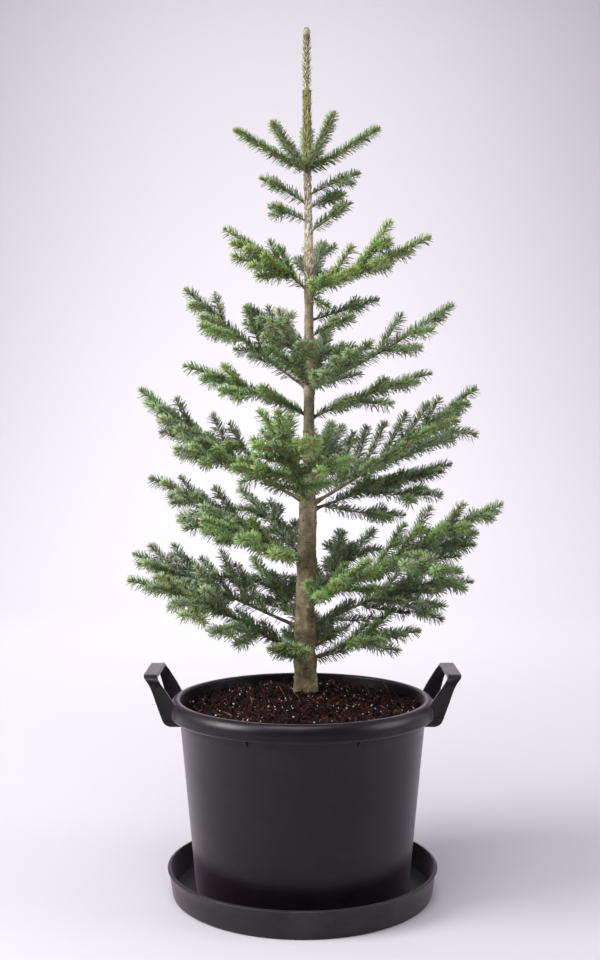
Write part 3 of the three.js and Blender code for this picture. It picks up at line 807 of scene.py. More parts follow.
def buildTrunk():
    s = trunkSet
    trunk = loftedPiece("trunkBark", trunkRings())
    applyModifier(trunk, "finer", "SUBSURF", levels=2, render_levels=2)
    barkRelief(trunk, s["relief"])
    finishPiece(trunk, [barkMaterial("youngBark", s["tones"], 1.0, 0.9, s["paler"])], ["trunk"], 60)


budSet = {                   # outlines as radius and height
    "bud": [(0.0036, 1.5465), (0.0066, 1.5500), (0.0074, 1.5560), (0.0064, 1.5610), (0.0030, 1.5646)],
    "cup": [(0.0030, 1.5420), (0.0052, 1.5440), (0.0068, 1.5485), (0.0060, 1.5505), (0.0034, 1.5480)],
    "yearRing": [(0.0036, 1.4410), (0.0062, 1.4440), (0.0070, 1.4470), (0.0058, 1.4500), (0.0034, 1.4530)],
    "yearAt": 1.447,
    "sides": 20,
    "green": [(0.3, (0.150, 0.145, 0.075)), (0.6, (0.330, 0.350, 0.215))],
    "brown": [(0.3, (0.060, 0.038, 0.018)), (0.6, (0.190, 0.135, 0.065))],
}


def turnedOnTrunk(name, outline, height):
    place = (trunkX(height), trunkSet["depth"])
    return loftedPiece(name, [roundRing(r, z, budSet["sides"], place) for r, z in outline])


def buildBud():
    # The round green bud at the very top, in its cup of scales, and the ring where last year's growth began
    s = budSet
    bud = turnedOnTrunk("terminalBud", s["bud"], trunkSet["budWidest"])
    applyModifier(bud, "finer", "SUBSURF", levels=2, render_levels=2)
    finishPiece(bud, [crumbMaterial("budScales", s["green"], 420)], (), 60)
    cup = turnedOnTrunk("budCup", s["cup"], trunkSet["budWidest"])
    ring = turnedOnTrunk("yearRing", s["yearRing"], s["yearAt"])
    scales = joinPieces([cup, ring], "budCupAndRing")
    finishPiece(scales, [crumbMaterial("brownScales", s["brown"], 380)], (), 60)


newShootSet = {
    "low": 1.451,
    "high": 1.5425,
    "rings": 24,
    "sides": 20,
    "skin": 0.0004,          # over the bark of the trunk's own mesh
    "tones": [(0.34, (0.330, 0.215, 0.085)), (0.55, (0.520, 0.385, 0.195)), (0.70, (0.620, 0.500, 0.300))],
}


def buildNewShoot():
    # Smooth golden skin of this year's shoot, over the bark of the leader
    s = newShootSet
    rings = [roundRing(trunkRadius(z) + s["skin"], z, s["sides"], (trunkX(z), trunkSet["depth"]))
             for z in np.linspace(s["low"], s["high"], s["rings"])]
    shoot = loftedPiece("newShoot", rings)
    applyModifier(shoot, "finer", "SUBSURF", levels=1, render_levels=1)
    finishPiece(shoot, [barkMaterial("shootSkin", s["tones"], 2.5, 0.3)], (), 60)


buildTrunk()
buildNewShoot()
buildBud()
print("trunk is made")


# Soil

soilSet = {
    "crown": 0.342,
    "edge": 0.324,
    "crownFlat": 0.040,
    "wallTop": 0.300,        # the bed's straight side ends here
    "rings": 34,
    "sides": 96,
    "trunkClear": 0.027,
    "seed": 11,
    "tones": [(0.3, (0.0045, 0.0028, 0.0026)), (0.55, (0.015, 0.0062, 0.0058)),
              (0.75, (0.040, 0.0150, 0.0120))],
}
chipKinds = [                # name, share of all, tones
    ("chipsDark", 0.52, [(0.35, (0.0040, 0.0022, 0.0024)), (0.7, (0.0160, 0.0046, 0.0050))]),
    ("chipsRed", 0.42, [(0.35, (0.016, 0.0058, 0.0054)), (0.7, (0.0540, 0.0118, 0.0108))]),
    ("chipsPale", 0.06, [(0.35, (0.080, 0.036, 0.024)), (0.7, (0.24, 0.125, 0.085))]),
]
chipShapes = [               # count, length, width, thickness and how steeply they lie: chips, then shreds
    (5600, 0.0100, 0.0040, 0.0018, 0.46),
    (3200, 0.0180, 0.0016, 0.0011, 0.40),
]
perliteSet = {
    "count": 250,
    "smallest": 0.0014,
    "largest": 0.0030,
    "steep": 0.6,
    "tones": [(0.35, (0.55, 0.53, 0.52)), (0.6, (0.93, 0.92, 0.92))],
}


def soilHeight(x, y):
    # Highest round the trunk, lower at the wall, uneven in between
    out = math.hypot(x - trunkX(0.342), y - trunkSet["depth"])
    inside = tubRadius(0.32) - tubSet["wall"]
    edge = math.hypot(x, y) / inside
    away = min(1.0, max(0.0, (out - soilSet["crownFlat"]) / 0.16))
    mound = soilSet["edge"] + (soilSet["crown"] - soilSet["edge"]) * (1 - away * away * (3 - 2 * away))
    lumps = 0.0055 * noise.noise(Vector((x * 24, y * 24, 3.1)))
    lumps += 0.0035 * noise.noise(Vector((x * 62, y * 62, 8.0)))
    return mound + lumps * min(1.0, max(0.0, (1.04 - edge) * 8))


def buildMound():
    s = soilSet
    wallTop, sides = s["wallTop"], s["sides"]
    inside = tubRadius(wallTop) - tubSet["wall"] - 0.001
    bottom = tubSet["under"] + tubSet["floor"] + 0.001
    rings = [roundRing(tubRadius(bottom) - tubSet["wall"] - 0.0015, bottom, sides),
             roundRing(inside, wallTop, sides)]
    for i in range(s["rings"]):
        flat = roundRing(inside * (1 - i / s["rings"]) + 0.002, 0, sides)
        rings.append([Vector((v.x, v.y, soilHeight(v.x, v.y) - 0.003)) for v in flat])
    mound = loftedPiece("soilMound", rings)
    finishPiece(mound, [crumbMaterial("dampPeat", s["tones"], 170)], ["soil"], 60)


def scatteredPlaces(count, random, edge):
    # Even spread over the round bed, clear of the trunk's foot
    places = []
    reach = tubRadius(0.31) - tubSet["wall"] - edge
    while len(places) < count:
        radius, turn = reach * math.sqrt(random.random()), 2 * math.pi * random.random()
        x, y = radius * math.cos(turn), radius * math.sin(turn)
        if math.hypot(x - trunkX(0.345), y - trunkSet["depth"]) > soilSet["trunkClear"]:
            places.append((x, y))
    return places


def turnedFrames(random, count, steep):
    # Random axes of a small thing that lies on the bed: along, across and up
    yaw = random.uniform(0, 2 * math.pi, count)
    pitch = random.normal(0, steep, count)
    roll = random.normal(0, steep * 1.3, count)
    along = np.stack([np.cos(yaw) * np.cos(pitch), np.sin(yaw) * np.cos(pitch), np.sin(pitch)], 1)
    flat = np.stack([-np.sin(yaw), np.cos(yaw), np.zeros(count)], 1)
    lift = np.cross(along, flat)
    across = flat * np.cos(roll)[:, None] + lift * np.sin(roll)[:, None]
    return along, across, np.cross(along, across)


boxCorners = np.array([(x, y, z) for x in (-1, 1) for y in (-1, 1) for z in (-1, 1)], dtype=float)
boxTriangles = np.array([
    (0, 1, 3), (0, 3, 2), (4, 6, 7), (4, 7, 5), (0, 4, 5), (0, 5, 1),
    (2, 3, 7), (2, 7, 6), (0, 2, 6), (0, 6, 4), (1, 5, 7), (1, 7, 3),
])


def brokenBits(random, places, lengths, widths, thicks, steep, sink):
    # Wedge-like bits: boxes whose corners are all pulled a little out of square
    count = len(places)
    along, across, up = turnedFrames(random, count, steep)
    corners = boxCorners[None] * (1 + random.uniform(-0.55, 0.25, (count, 8, 3)))
    sizes = np.stack([lengths, widths, thicks], 1) / 2
    local = corners * sizes[:, None, :]
    heights = np.array([soilHeight(x, y) for x, y in places])
    lift = np.abs(along[:, 2]) * lengths / 2 * 0.75 + thicks * 0.3 - sink
    centres = np.stack([[p[0] for p in places], [p[1] for p in places], heights + lift], 1)
    points = centres[:, None] + (local[..., 0:1] * along[:, None] + local[..., 1:2] * across[:, None]
                                 + local[..., 2:3] * up[:, None])
    triangles = boxTriangles[None] + 8 * np.arange(count)[:, None, None]
    return points.reshape(-1, 3), triangles.reshape(-1, 3)


def buildChips(random):
    for name, share, tones in chipKinds:
        parts = []
        for total, size, width, thick, steep in chipShapes:
            count = int(total * share)
            places = scatteredPlaces(count, random, 0.007)
            lengths = size * random.lognormal(0, 0.38, count).clip(0.4, 2.0)
            widths = width * random.lognormal(0, 0.35, count).clip(0.4, 2.2)
            thicks = thick * random.uniform(0.6, 1.7, count)
            parts.append(brokenBits(random, places, lengths, widths, thicks, steep, 0.0018))
        chips = arrayPiece(name, *joinArrays(parts))
        finishPiece(chips, [crumbMaterial(name + "Finish", tones, 120)])


def buildPerlite(random):
    s = perliteSet
    places = scatteredPlaces(s["count"], random, 0.006)
    sizes = random.uniform(s["smallest"], s["largest"], len(places))
    grains = brokenBits(random, places, sizes, sizes * 0.9, sizes * 0.8, s["steep"], -0.0024)
    perlite = arrayPiece("perliteGrains", *grains)
    white, tree, shader = newMaterial("perlite", 0.7, 0.4)
    pits = noiseNode(tree, objectPlace(tree), 900.0, 3.0, 0.6)
    tone = rampNode(tree, pits.outputs["Fac"], s["tones"])
    tree.links.new(tone.outputs["Color"], shader.inputs["Base Color"])
    finishPiece(perlite, [white])


soilRandom = np.random.default_rng(soilSet["seed"])
buildMound()
buildChips(soilRandom)
buildPerlite(soilRandom)
print("soil, chips and perlite are made")


# Boughs: the part's table, in millimetres and degrees, with the tone of each spray's needles

# The boughs at the back and several low or inner ones take the darker deep tone: painted shade.
boughRows = [            # name, from, turn, reach, rise, sag, bare, joints, fan, tilt, tone
    ("1_left", 400, 205, 334, 165, -20, 0.34, 4, 46, -8, "mixed"),
    ("1_right", 400, 350, 206, 61, -12, 0.3, 2, 46, -14, "mid"),
    ("1_front", 404, 252, 118, 46, 4, 0, 1, 50, 0, "mid"),
    ("1_back", 402, 84, 180, 60, 0, 0, 2, 46, 0, "deep"),
    ("2_left", 459, 172, 322, 134, 0, 0.3, 4, 46, 10, "blue"),
    ("2_right", 457, 8, 312, 84, -22, 0.34, 3, 46, 0, "blue"),
    ("2_back", 462, 122, 190, 112, 4, 0, 2, 46, 0, "deep"),
    ("3_right", 502, 344, 356, 191, 0, 0.32, 4, 46, 4, "mid"),
    ("3_front", 508, 305, 190, 92, 6, 0, 2, 52, 0, "bright"),
    ("3_back", 510, 48, 200, 120, 0, 0, 2, 46, 0, "deep"),
    ("4_left", 583, 188, 283, 154, -8, 0.3, 4, 46, 12, "blue"),
    ("4_front", 578, 224, 246, 92, -6, 0, 2, 46, -10, "bright"),
    ("4_back", 586, 132, 190, 124, 0, 0, 2, 46, 0, "deep"),
    ("5_left", 692, 186, 304, 205, 14, 0.24, 4, 46, -6, "mid"),
    ("5_right", 686, 350, 303, 213, 12, 0.24, 4, 46, 6, "mid"),
    ("5_low", 676, 20, 288, 84, -4, 0.2, 3, 46, 0, "deep"),
    ("5_front", 694, 257, 228, 160, 16, 0, 2, 52, 0, "bright"),
    ("5_back", 694, 78, 232, 146, 10, 0, 2, 46, 0, "deep"),
    ("6_left", 851, 182, 225, 91, -6, 0, 2, 42, 8, "bright"),
    ("6_right", 846, 356, 219, 82, -4, 0, 2, 42, 0, "mid"),
    ("7_left", 901, 184, 224, 179, 8, 0.2, 4, 46, -10, "mid"),
    ("7_right", 901, 354, 260, 149, 8, 0.2, 4, 46, 8, "mid"),
    ("7_front_left", 902, 246, 130, 130, 6, 0, 1, 46, 0, "mid"),
    ("7_front_right", 897, 308, 170, 78, 4, 0, 2, 50, 0, "deep"),
    ("7_back", 903, 76, 160, 124, 4, 0, 2, 46, 0, "deep"),
    ("7_back_left", 905, 136, 150, 136, 4, 0, 1, 46, 0, "deep"),
    ("8_left", 980, 180, 115, 70, 0, 0, 1, 46, 0, "blue"),
    ("8_right", 1026, 2, 124, 38, 0, 0, 0, 46, 0, "deep"),
    ("8_front", 996, 328, 90, 34, 0, 0, 0, 46, 0, "mid"),
    ("8_low", 958, 338, 88, 18, 0, 0, 1, 46, 0, "deep"),
    ("9_left", 1080, 184, 153, 111, -4, 0, 2, 46, -14, "fresh"),
    ("9_right", 1080, 352, 218, 93, 4, 0, 2, 46, 12, "fresh"),
    ("9_front", 1062, 298, 66, 38, 0, 0, 0, 46, 0, "bright"),
    ("9_back", 1082, 78, 128, 104, 0, 0, 1, 46, 0, "deep"),
    ("10_left_high", 1238, 182, 84, 48, -3, 0, 0, 46, 0, "mid"),
    ("10_left_low", 1207, 188, 70, 25, -3, 0, 0, 46, 0, "deep"),
    ("10_right_high", 1256, 355, 91, 38, -2, 0, 0, 46, 0, "blue"),
    ("10_right", 1232, 24, 64, 33, 0, 0, 0, 46, 0, "deep"),
    ("10_right_low", 1187, 8, 75, 55, 0, 0, 0, 46, 0, "mid"),
]
# The whorl round the leader's foot: turn, reach and rise of each shoot, and its height.
# Two turns are 236 and 90 here, 240 and 100 in the part.
topShoots = [(205, 139, 60), (236, 109, 65), (300, 92, 84), (345, 131, 69), (90, 76, 96)]
topHeight = 1300

fullSprays = {               # more first shoots of a bough: share, swing, climb and reach
    "1_left": [(0.46, -40, 16, 84), (0.62, 34, -4, 88), (0.38, 34, -16, 98), (0.56, -36, 20, 80),
               (0.10, 10, 26, 84), (0.18, -14, 22, 96), (0.28, 24, -2, 80), (0.30, 40, -24, 84)],
    "1_right": [(0.06, 20, 0, 70), (0.35, 10, 30, 60), (0.50, 10, 34, 84)],
    "2_left": [(0.42, 36, 6, 108), (0.50, -40, 14, 98), (0.66, 30, 8, 80), (0.62, -6, 42, 84),
               (0.72, 0, 30, 80), (0.50, -10, 30, 90), (0.22, -20, 40, 110), (0.32, -10, 48, 112)],
    "2_right": [(0.50, -20, -30, 110), (0.34, -10, -20, 90), (0.14, 0, -14, 90), (0.10, 20, 14, 70),
                (0.04, 8, 14, 90), (0.46, 10, 40, 70)],
    "3_back": [(0.40, 30, 34, 96)],
    "3_right": [(0.36, 20, 42, 100), (0.62, 0, 30, 80)],
    "4_left": [(0.40, 40, 4, 92), (0.55, -40, 14, 78)],
    "5_left": [(0.40, 36, 10, 96), (0.58, -38, -10, 76), (0.27, -6, 44, 112)],
    "5_front": [(0.30, -58, 6, 116), (0.50, -48, 12, 90), (0.40, 52, 4, 74), (0.45, -50, 30, 90),
                (0.62, -60, 34, 70), (0.66, 20, 40, 66), (0.72, -48, 26, 74)],
    "5_back": [(0.55, -30, 30, 90), (0.60, 34, 24, 84)],
    "5_right": [(0.24, 55, 48, 110), (0.30, 24, 46, 106), (0.16, 30, 56, 110), (0.50, 0, 36, 108),
                (0.72, 10, -30, 84)],
    "5_low": [(0.10, -20, -16, 148)],
    "6_left": [(0.04, -6, 16, 92)],
    "7_right": [(0.46, 0, 42, 84)],
    "9_left": [(0.42, 30, -14, 88), (0.25, 36, -26, 72), (0.40, -20, 16, 80), (0.18, -10, 45, 66)],
    "9_right": [(0.36, 0, 42, 116), (0.14, 0, 44, 84)],
    "9_front": [(0.15, 20, -42, 44)],
}

openBoughs = ("5_right", "7_left", "7_right")    # no shoots on their shoots

# First shoots left out, by number. Over the photo 20 of the 31 lie mostly on its backdrop, 11 on the tree.
leftOut = {
    "1_left": (0, 4, 5),
    "2_right": (4,),
    "3_right": (4, 6),
    "5_left": (3,),
    "5_low": (2, 7),
    "5_right": (1, 4),
    "6_left": (1, 2),
    "6_right": (0, 2),
    "7_back": (1, 4),
    "7_front_right": (0, 3),
    "7_left": (0, 1),
    "7_right": (0, 1, 2, 4, 5, 7),
    "9_back": (1, 2),
    "9_right": (1, 4),
}

growth = {
    "shootFoot": 2.8,
    "shootTip": 1.1,
    "sideShare": 0.72,
    "risingShare": 0.5,
    "shortest": 32,         # the solids stop at 48, the finer twigs are made here
    "yearLength": 64,       # from joint to joint on the finer twigs
    "wideGap": 50,          # joints further apart have short shoots between them
    "budsFrom": 55,         # shorter shoots have no buds
    "sagShare": 0.05,
    "samples": 24,
}
shootKinds = {               # bud size, how dense and long the needles are, yellow ones at the tip
    "bough": {"bud": 6.5, "dense": 1.0, "long": 1.0, "yellow": 0.5},
    "top": {"bud": 8.2, "dense": 1.5, "long": 0.92, "yellow": 0.5},
    "side": {"bud": 3.2, "dense": 1.0, "long": 1.0, "yellow": 0.12},
}


def seededRandom(seed):
    # The part's own random numbers: first shoots stand where the part's do, finer ones differ
    state = seed
    full = 0xFFFFFFFF

    def draw():
        nonlocal state
        state = (state + 0x6D2B79F5) & full
        mix = ((state ^ (state >> 15)) * (state | 1)) & full
        mix ^= (mix + (((mix ^ (mix >> 7)) * (mix | 61)) & full)) & full
        return (mix ^ (mix >> 14)) / 4294967296

    return draw


def makeAxis(foot, middle, tip):
    shares = np.linspace(0, 1, growth["samples"] + 1)[:, None]
    points = ((1 - shares) ** 2 * np.array(foot) + 2 * shares * (1 - shares) * np.array(middle)
              + shares ** 2 * np.array(tip))
    steps = np.linalg.norm(np.diff(points, axis=0), axis=1)
    lengths = np.concatenate([[0], np.cumsum(steps)])
    return {"points": points, "lengths": lengths, "length": lengths[-1]}


def along(axis, shares):
    # Places and headings at shares of an axis's length
    goal = np.clip(np.asarray(shares, dtype=float), 0, 1) * axis["length"]
    places = np.stack([np.interp(goal, axis["lengths"], axis["points"][:, k]) for k in range(3)], -1)
    step = axis["length"] * 0.02
    ahead = np.stack([np.interp(goal + step, axis["lengths"], axis["points"][:, k]) for k in range(3)], -1)
    back = np.stack([np.interp(goal - step, axis["lengths"], axis["points"][:, k]) for k in range(3)], -1)
    headings = ahead - back
    return places, headings / np.linalg.norm(headings, axis=-1, keepdims=True)


def trunkMiddle(height):
    return np.array([trunkX(height * mm) / mm, trunkSet["depth"] / mm, height])


def limbAxis(foot, turn, reach, rise, sag):
    # From the trunk's middle to the tip, bent down between them by half the sag
    bearing = math.radians(turn)
    tip = foot + np.array([reach * math.cos(bearing), reach * math.sin(bearing), rise])
    middle = (foot + tip) / 2 - np.array([0, 0, sag])
    return makeAxis(foot, middle, tip)


def newShoot(parent, at, bearing, slope, reach, tilt, plain, thickest, thinner):
    # One shoot from a place on its parent, thinner than it, with a slight sag
    flat = math.cos(slope)
    heading = np.array([flat * math.cos(bearing), flat * math.sin(bearing), math.sin(slope)])
    tip = at + heading * reach
    middle = (at + tip) / 2 - np.array([0, 0, reach * growth["sagShare"]])
    return {"kind": "side", "axis": makeAxis(at, middle, tip), "from": 0, "plain": plain, "tilt": tilt,
            "foot": min(thickest, parent["foot"] * thinner), "tone": parent["tone"]}


def sideShoots(parent, joints, fan, draw):
    # The part's rule: a flat pair at each joint and a rising shoot at every other, shorter towards the tip
    length = parent["axis"]["length"]
    start = parent["from"] + parent["plain"] / length * 0.6
    grown = []
    for joint in range(1, joints + 1):
        for side in (1, -1, 0) if joint % 2 == 1 else (1, -1):
            rising = side == 0
            share = start + ((1 - start) * joint) / (joints + 1) + (draw() - 0.5) * 0.06
            swing = math.radians(30 * (draw() - 0.5) if rising else side * fan * (0.86 + 0.28 * draw()))
            spread = draw()
            full = (growth["risingShare"] if rising else growth["sideShare"]) * length * (1 - share)
            reach = full * (0.85 + 0.35 * draw())
            tilt = (draw() - 0.5) * 40
            if reach < growth["shortest"]:
                continue
            at, forward = along(parent["axis"], share)
            climb = math.asin(forward[2])
            if rising:
                slope = climb + math.radians(20 + 14 * spread)
            else:
                slope = climb * 0.4 + math.radians(side * parent["tilt"] * 0.7 - 14 + 18 * spread)
            bearing = math.atan2(forward[1], forward[0]) + swing
            grown.append(newShoot(parent, at, bearing, slope, reach, tilt, 5, 2.0, 0.72))
    return grown


def shootAt(parent, share, swing, climbOn, reach, tilt):
    # One shoot at a share of its parent, swung from its heading and raised from half its climb
    at, forward = along(parent["axis"], share)
    slope = math.asin(forward[2]) * 0.5 + climbOn
    bearing = math.atan2(forward[1], forward[0]) + swing
    return newShoot(parent, at, bearing, slope, reach, tilt, 4, 1.8, 0.7)


def shootsBetween(stem, joints, random):
    # Short shoots between the joints of a long bough
    length = stem["axis"]["length"]
    start = stem["from"] + stem["plain"] / length * 0.6
    gap = (1 - start) * length / (joints + 1)
    if gap < growth["wideGap"]:
        return []
    shoots = []
    for i in range(joints + 1):
        share = start + (1 - start) * (i + 0.52) / (joints + 1)
        if share > 0.84:
            break
        for side in (1, -1):
            reach = min(76, max(38, random.uniform(0.46, 0.60) * length * (1 - share)))
            swing = math.radians(side * random.uniform(42, 58))
            slope = math.radians(random.uniform(-8, 16) + side * stem["tilt"] * 0.7)
            shoots.append(shootAt(stem, share + side * 0.02, swing, slope, reach, random.uniform(-20, 20)))
    return shoots


def growBough(index, row):
    # The limb, its first shoots by the rule and listed ones, short ones between, and shoots on the first
    name, start, turn, reach, rise, sag, bare, joints, fan, tilt, tone = row
    axis = limbAxis(trunkMiddle(start), turn, reach, rise, 2 * sag)
    size = 2.6 + axis["length"] * 0.007
    foot = min(growth["shootFoot"] + axis["length"] * 0.003, size * 0.75)
    plain = 0 if bare else trunkRadius(start * mm) / mm + 5
    stem = {"kind": "bough", "axis": axis, "from": bare, "plain": plain, "tilt": tilt, "tone": tone,
            "size": size, "foot": foot}
    draw = seededRandom(101 + 17 * index)
    grown = sideShoots(stem, joints, fan, draw)
    waiting = [shoot for number, shoot in enumerate(grown) if number not in leftOut.get(name, ())]
    for share, swing, climbOn, full in fullSprays.get(name, ()):
        waiting.append(shootAt(stem, share, math.radians(swing), math.radians(climbOn), full, 0))
    shoots = [stem] + shootsBetween(stem, joints, np.random.default_rng(500 + index))
    while waiting:
        shoot = waiting.pop(0)
        shoots.append(shoot)
        finer = round(shoot["axis"]["length"] / growth["yearLength"]) - 1
        if finer > 0 and name not in openBoughs:
            waiting += sideShoots(shoot, finer, fan, draw)
    return shoots


def growTopWhorl():
    foot = trunkMiddle(topHeight)
    return [{"kind": "top", "axis": limbAxis(foot, turn, reach, rise, 6), "from": 0, "plain": 7, "tilt": 0,
             "tone": "mid", "foot": growth["shootFoot"]} for turn, reach, rise in topShoots]


# Wood of the boughs and twigs

def crossFrames(headings, tilt):
    # Sideways and up at each heading, turned about it by the tilt
    side = np.cross([0, 0, 1], headings)
    side /= np.linalg.norm(side, axis=-1, keepdims=True)
    up = np.cross(headings, side)
    roll = math.radians(tilt)
    return side * math.cos(roll) + up * math.sin(roll), up * math.cos(roll) - side * math.sin(roll)


def tubeMesh(places, headings, radii, sides, relief=0.0):
    # A closed round stem through the places, with bumps where relief is given
    side, up = crossFrames(headings, 0)
    turns = 2 * np.pi * np.arange(sides) / sides
    spokes = side[:, None] * np.cos(turns)[None, :, None] + up[:, None] * np.sin(turns)[None, :, None]
    reach = np.repeat(radii[:, None], sides, 1)
    if relief:
        for i in range(len(places)):
            for k in range(sides):
                spot = Vector(places[i] + spokes[i, k] * radii[i]) * 0.11
                reach[i, k] *= 1 + relief * (noise.noise(spot) + 0.7 * noise.noise(spot * 3.1))
    points = (places[:, None] + spokes * reach[..., None]).reshape(-1, 3)
    count = len(places)
    points = np.concatenate([points, places[:1] - headings[:1] * radii[0] * 0.3,
                             places[-1:] + headings[-1:] * radii[-1] * 0.8])
    ring, step = np.meshgrid(np.arange(count - 1), np.arange(sides), indexing="ij")
    a = (ring * sides + step).ravel()
    b = (ring * sides + (step + 1) % sides).ravel()
    walls = np.concatenate([np.stack([a, b, b + sides], 1), np.stack([a, b + sides, a + sides], 1)])
    k = np.arange(sides)
    nextK = (k + 1) % sides
    foot = np.stack([nextK, k, np.full(sides, count * sides)], 1)
    last = (count - 1) * sides
    end = np.stack([last + k, last + nextK, np.full(sides, count * sides + 1)], 1)
    return points, np.concatenate([walls, foot, end])


def boughTube(stem):
    # The whole limb: thick at the trunk with a flared foot, tapering on through its spray
    axis = stem["axis"]
    count = max(8, int(axis["length"] / 5))
    shares = np.linspace(0, 1, count)
    places, headings = along(axis, shares)
    size, bare = stem["size"], max(stem["from"], 0.12)
    thicks = [size * 0.95, size * 0.64, size * 0.48, growth["shootTip"]]
    radii = np.interp(shares, [0, bare * 0.4, bare, 1], thicks)
    away = shares * axis["length"] - trunkRadius(places[0, 2] * mm) / mm
    radii = radii * (1 + 0.45 * np.exp(-np.clip(away, 0, None) / 6))
    return tubeMesh(places, headings, radii, 9, 0.16)


def twigTube(shoot):
    axis = shoot["axis"]
    count = max(3, int(axis["length"] / 12))
    shares = np.linspace(0, 1, count)
    places, headings = along(axis, shares)
    radii = np.interp(shares, [0, 1], [shoot["foot"] * 0.72, growth["shootTip"] * 0.8])
    return tubeMesh(places, headings, radii, 5)


# Needles

needleSet = {
    "length": 17.0,
    "width": 2.35,
    "endWidth": 1.30,
    "thick": 0.80,
    "perLength": 2.6,        # needles for each millimetre of shoot
    "underKept": 0.66,
    "underWidth": 0.84,
    "twist": 0.75,           # how far the blades turn about themselves, in radians
    "lean": 61,              # degrees from the shoot
    "leanTip": 30,
    "widest": 0.32,
    "sideways": 1.25,        # above 1, more of them stand out to the sides
    "topLength": 0.92,       # the uppermost needles are a little shorter and lean forwards
    "topLean": -5,
    "seed": 71,
    "mostInPiece": 24500,
}
toneColours = {              # upper face, paler underside
    # deep is a darker copy of mid, given to boughs at the back and inside: painted shade
    "deep": ((0.135, 0.200, 0.082), (0.255, 0.310, 0.200)),
    "mid": ((0.210, 0.300, 0.105), (0.310, 0.370, 0.225)),
    "fresh": ((0.280, 0.365, 0.098), (0.350, 0.405, 0.200)),
    "bright": ((0.210, 0.365, 0.090), (0.300, 0.400, 0.190)),
    "blue": ((0.285, 0.355, 0.225), (0.395, 0.445, 0.345)),
    "tip": ((0.320, 0.345, 0.145), (0.370, 0.385, 0.205)),
    "shade": ((0.075, 0.115, 0.052), (0.180, 0.220, 0.140)),
    "leader": ((0.176, 0.159, 0.028), (0.232, 0.211, 0.064)),
}
toneMixes = {                # main tone and a second one among it, by how often a bough's shoots have them
    "deep": ("deep mid", "mid deep", "blue deep"),
    "mid": ("mid blue", "mid bright", "deep mid"),
    "fresh": ("fresh mid", "mid fresh", "bright fresh"),
    "bright": ("bright mid", "fresh bright", "mid bright"),
    "blue": ("blue mid", "mid blue", "deep blue"),
    "mixed": ("blue mid", "fresh blue", "mid bright"),
}
goldenTurn = 2.39996
needleTriangles = np.array([
    (2, 1, 0), (1, 2, 5), (1, 5, 4), (3, 2, 0), (1, 3, 0), (2, 3, 5), (3, 1, 4), (3, 4, 5),
])
needleSlots = np.array([1, 1, 1, 0, 0, 0, 0, 0])    # paler underneath
needleCorners = 6


def needleBlades(bases, directions, across, lengths, widths, thick):
    # Slim blades with a narrow foot, a low ridge and a blunt end, flat and paler underneath
    ridge = np.cross(directions, across) * thick
    middle = bases + directions * (lengths * needleSet["widest"])[:, None]
    end = bases + directions * lengths[:, None]
    half = across * (widths / 2)[:, None]
    endHalf = half * (needleSet["endWidth"] / needleSet["width"])
    return np.stack([bases, middle - half, middle + half, middle + ridge, end - endHalf, end + endHalf], 1)


def unit(vectors):
    return vectors / np.linalg.norm(vectors, axis=1, keepdims=True)


def needlesOn(shoot, random):
    # Needles stand round the upper side, swept forwards, with fewer and looser ones below
    s, kind = needleSet, shootKinds[shoot["kind"]]
    axis = shoot["axis"]
    length = axis["length"]
    first = shoot["from"] * 0.45 + shoot["plain"] / length
    count = int((1 - first) * length * s["perLength"] * kind["dense"])
    if count < 3:
        return None
    order = np.arange(count)
    shares = first + (1 - first) * (order + random.uniform(0, 1, count)) / count
    thin = np.clip((shares - first) / max(shoot["from"] - first, 0.001), 0, 1)
    turns = order * goldenTurn + random.uniform(-0.3, 0.3, count)
    lift = np.sign(np.sin(turns)) * np.abs(np.sin(turns)) ** s["sideways"]
    out = np.sign(np.cos(turns)) * np.sqrt(1 - lift ** 2)
    under = lift < -0.28
    kept = ~under | (random.uniform(0, 1, count) < s["underKept"])
    kept &= random.uniform(0, 1, count) < 0.12 + 0.88 * thin ** 2
    shares, out, lift, under = shares[kept], out[kept], lift[kept], under[kept]
    count = len(shares)
    left = (1 - shares) * length                                # millimetres to the shoot's tip
    nearTip = np.clip(1 - left / 9, 0, 1)
    nearFoot = np.clip(1 - (shares - first) * length / 14, 0, 1)

    places, headings = along(axis, shares)
    side, up = crossFrames(headings, shoot["tilt"])
    radial = unit(side * out[:, None] + up * (lift * np.where(under, 0.85, 1.0) + 0.12)[:, None])
    lean = np.radians(s["lean"] + (s["leanTip"] - s["lean"]) * nearTip + s["topLean"] * lift.clip(0, 1)
                      + random.normal(0, 6, count) + np.where(under, 6, 0))
    directions = headings * np.cos(lean)[:, None] + radial * np.sin(lean)[:, None]
    directions = unit(directions + random.normal(0, 0.045, (count, 3)))
    across = np.cross(headings, radial)
    across = unit(across - directions * np.sum(across * directions, 1)[:, None])
    twist = random.normal(0, s["twist"], count)[:, None]
    across = across * np.cos(twist) + np.cross(directions, across) * np.sin(twist)

    lengths = s["length"] * (1 - 0.35 * nearFoot) * (1 - 0.42 * nearTip) * random.uniform(0.84, 1.08, count)
    lengths *= (1 - (1 - s["topLength"]) * lift.clip(0, 1)) * kind["long"]
    widths = s["width"] * random.uniform(0.85, 1.12, count) * np.where(under, s["underWidth"], 1)
    stem = np.interp(shares, [0, 1], [shoot["foot"] * 0.5, growth["shootTip"] * 0.6])
    bases = places + radial * stem[:, None]
    points = needleBlades(bases, directions, across, lengths, widths, s["thick"])
    clear = clearOfTrunk(points[:, 0], -0.5) & clearOfTrunk(points[:, 4], 1.0)
    return points[clear], left[clear]


def clearOfTrunk(points, margin):
    heights = points[:, 2]
    rows = np.array(trunkThickness) / mm
    centre = np.array(centreLine) / mm
    away = np.hypot(points[:, 0] - np.interp(heights, centre[:, 0], centre[:, 1]),
                    points[:, 1] - trunkSet["depth"] / mm)
    return away > np.interp(heights, rows[:, 0], rows[:, 1]) + margin


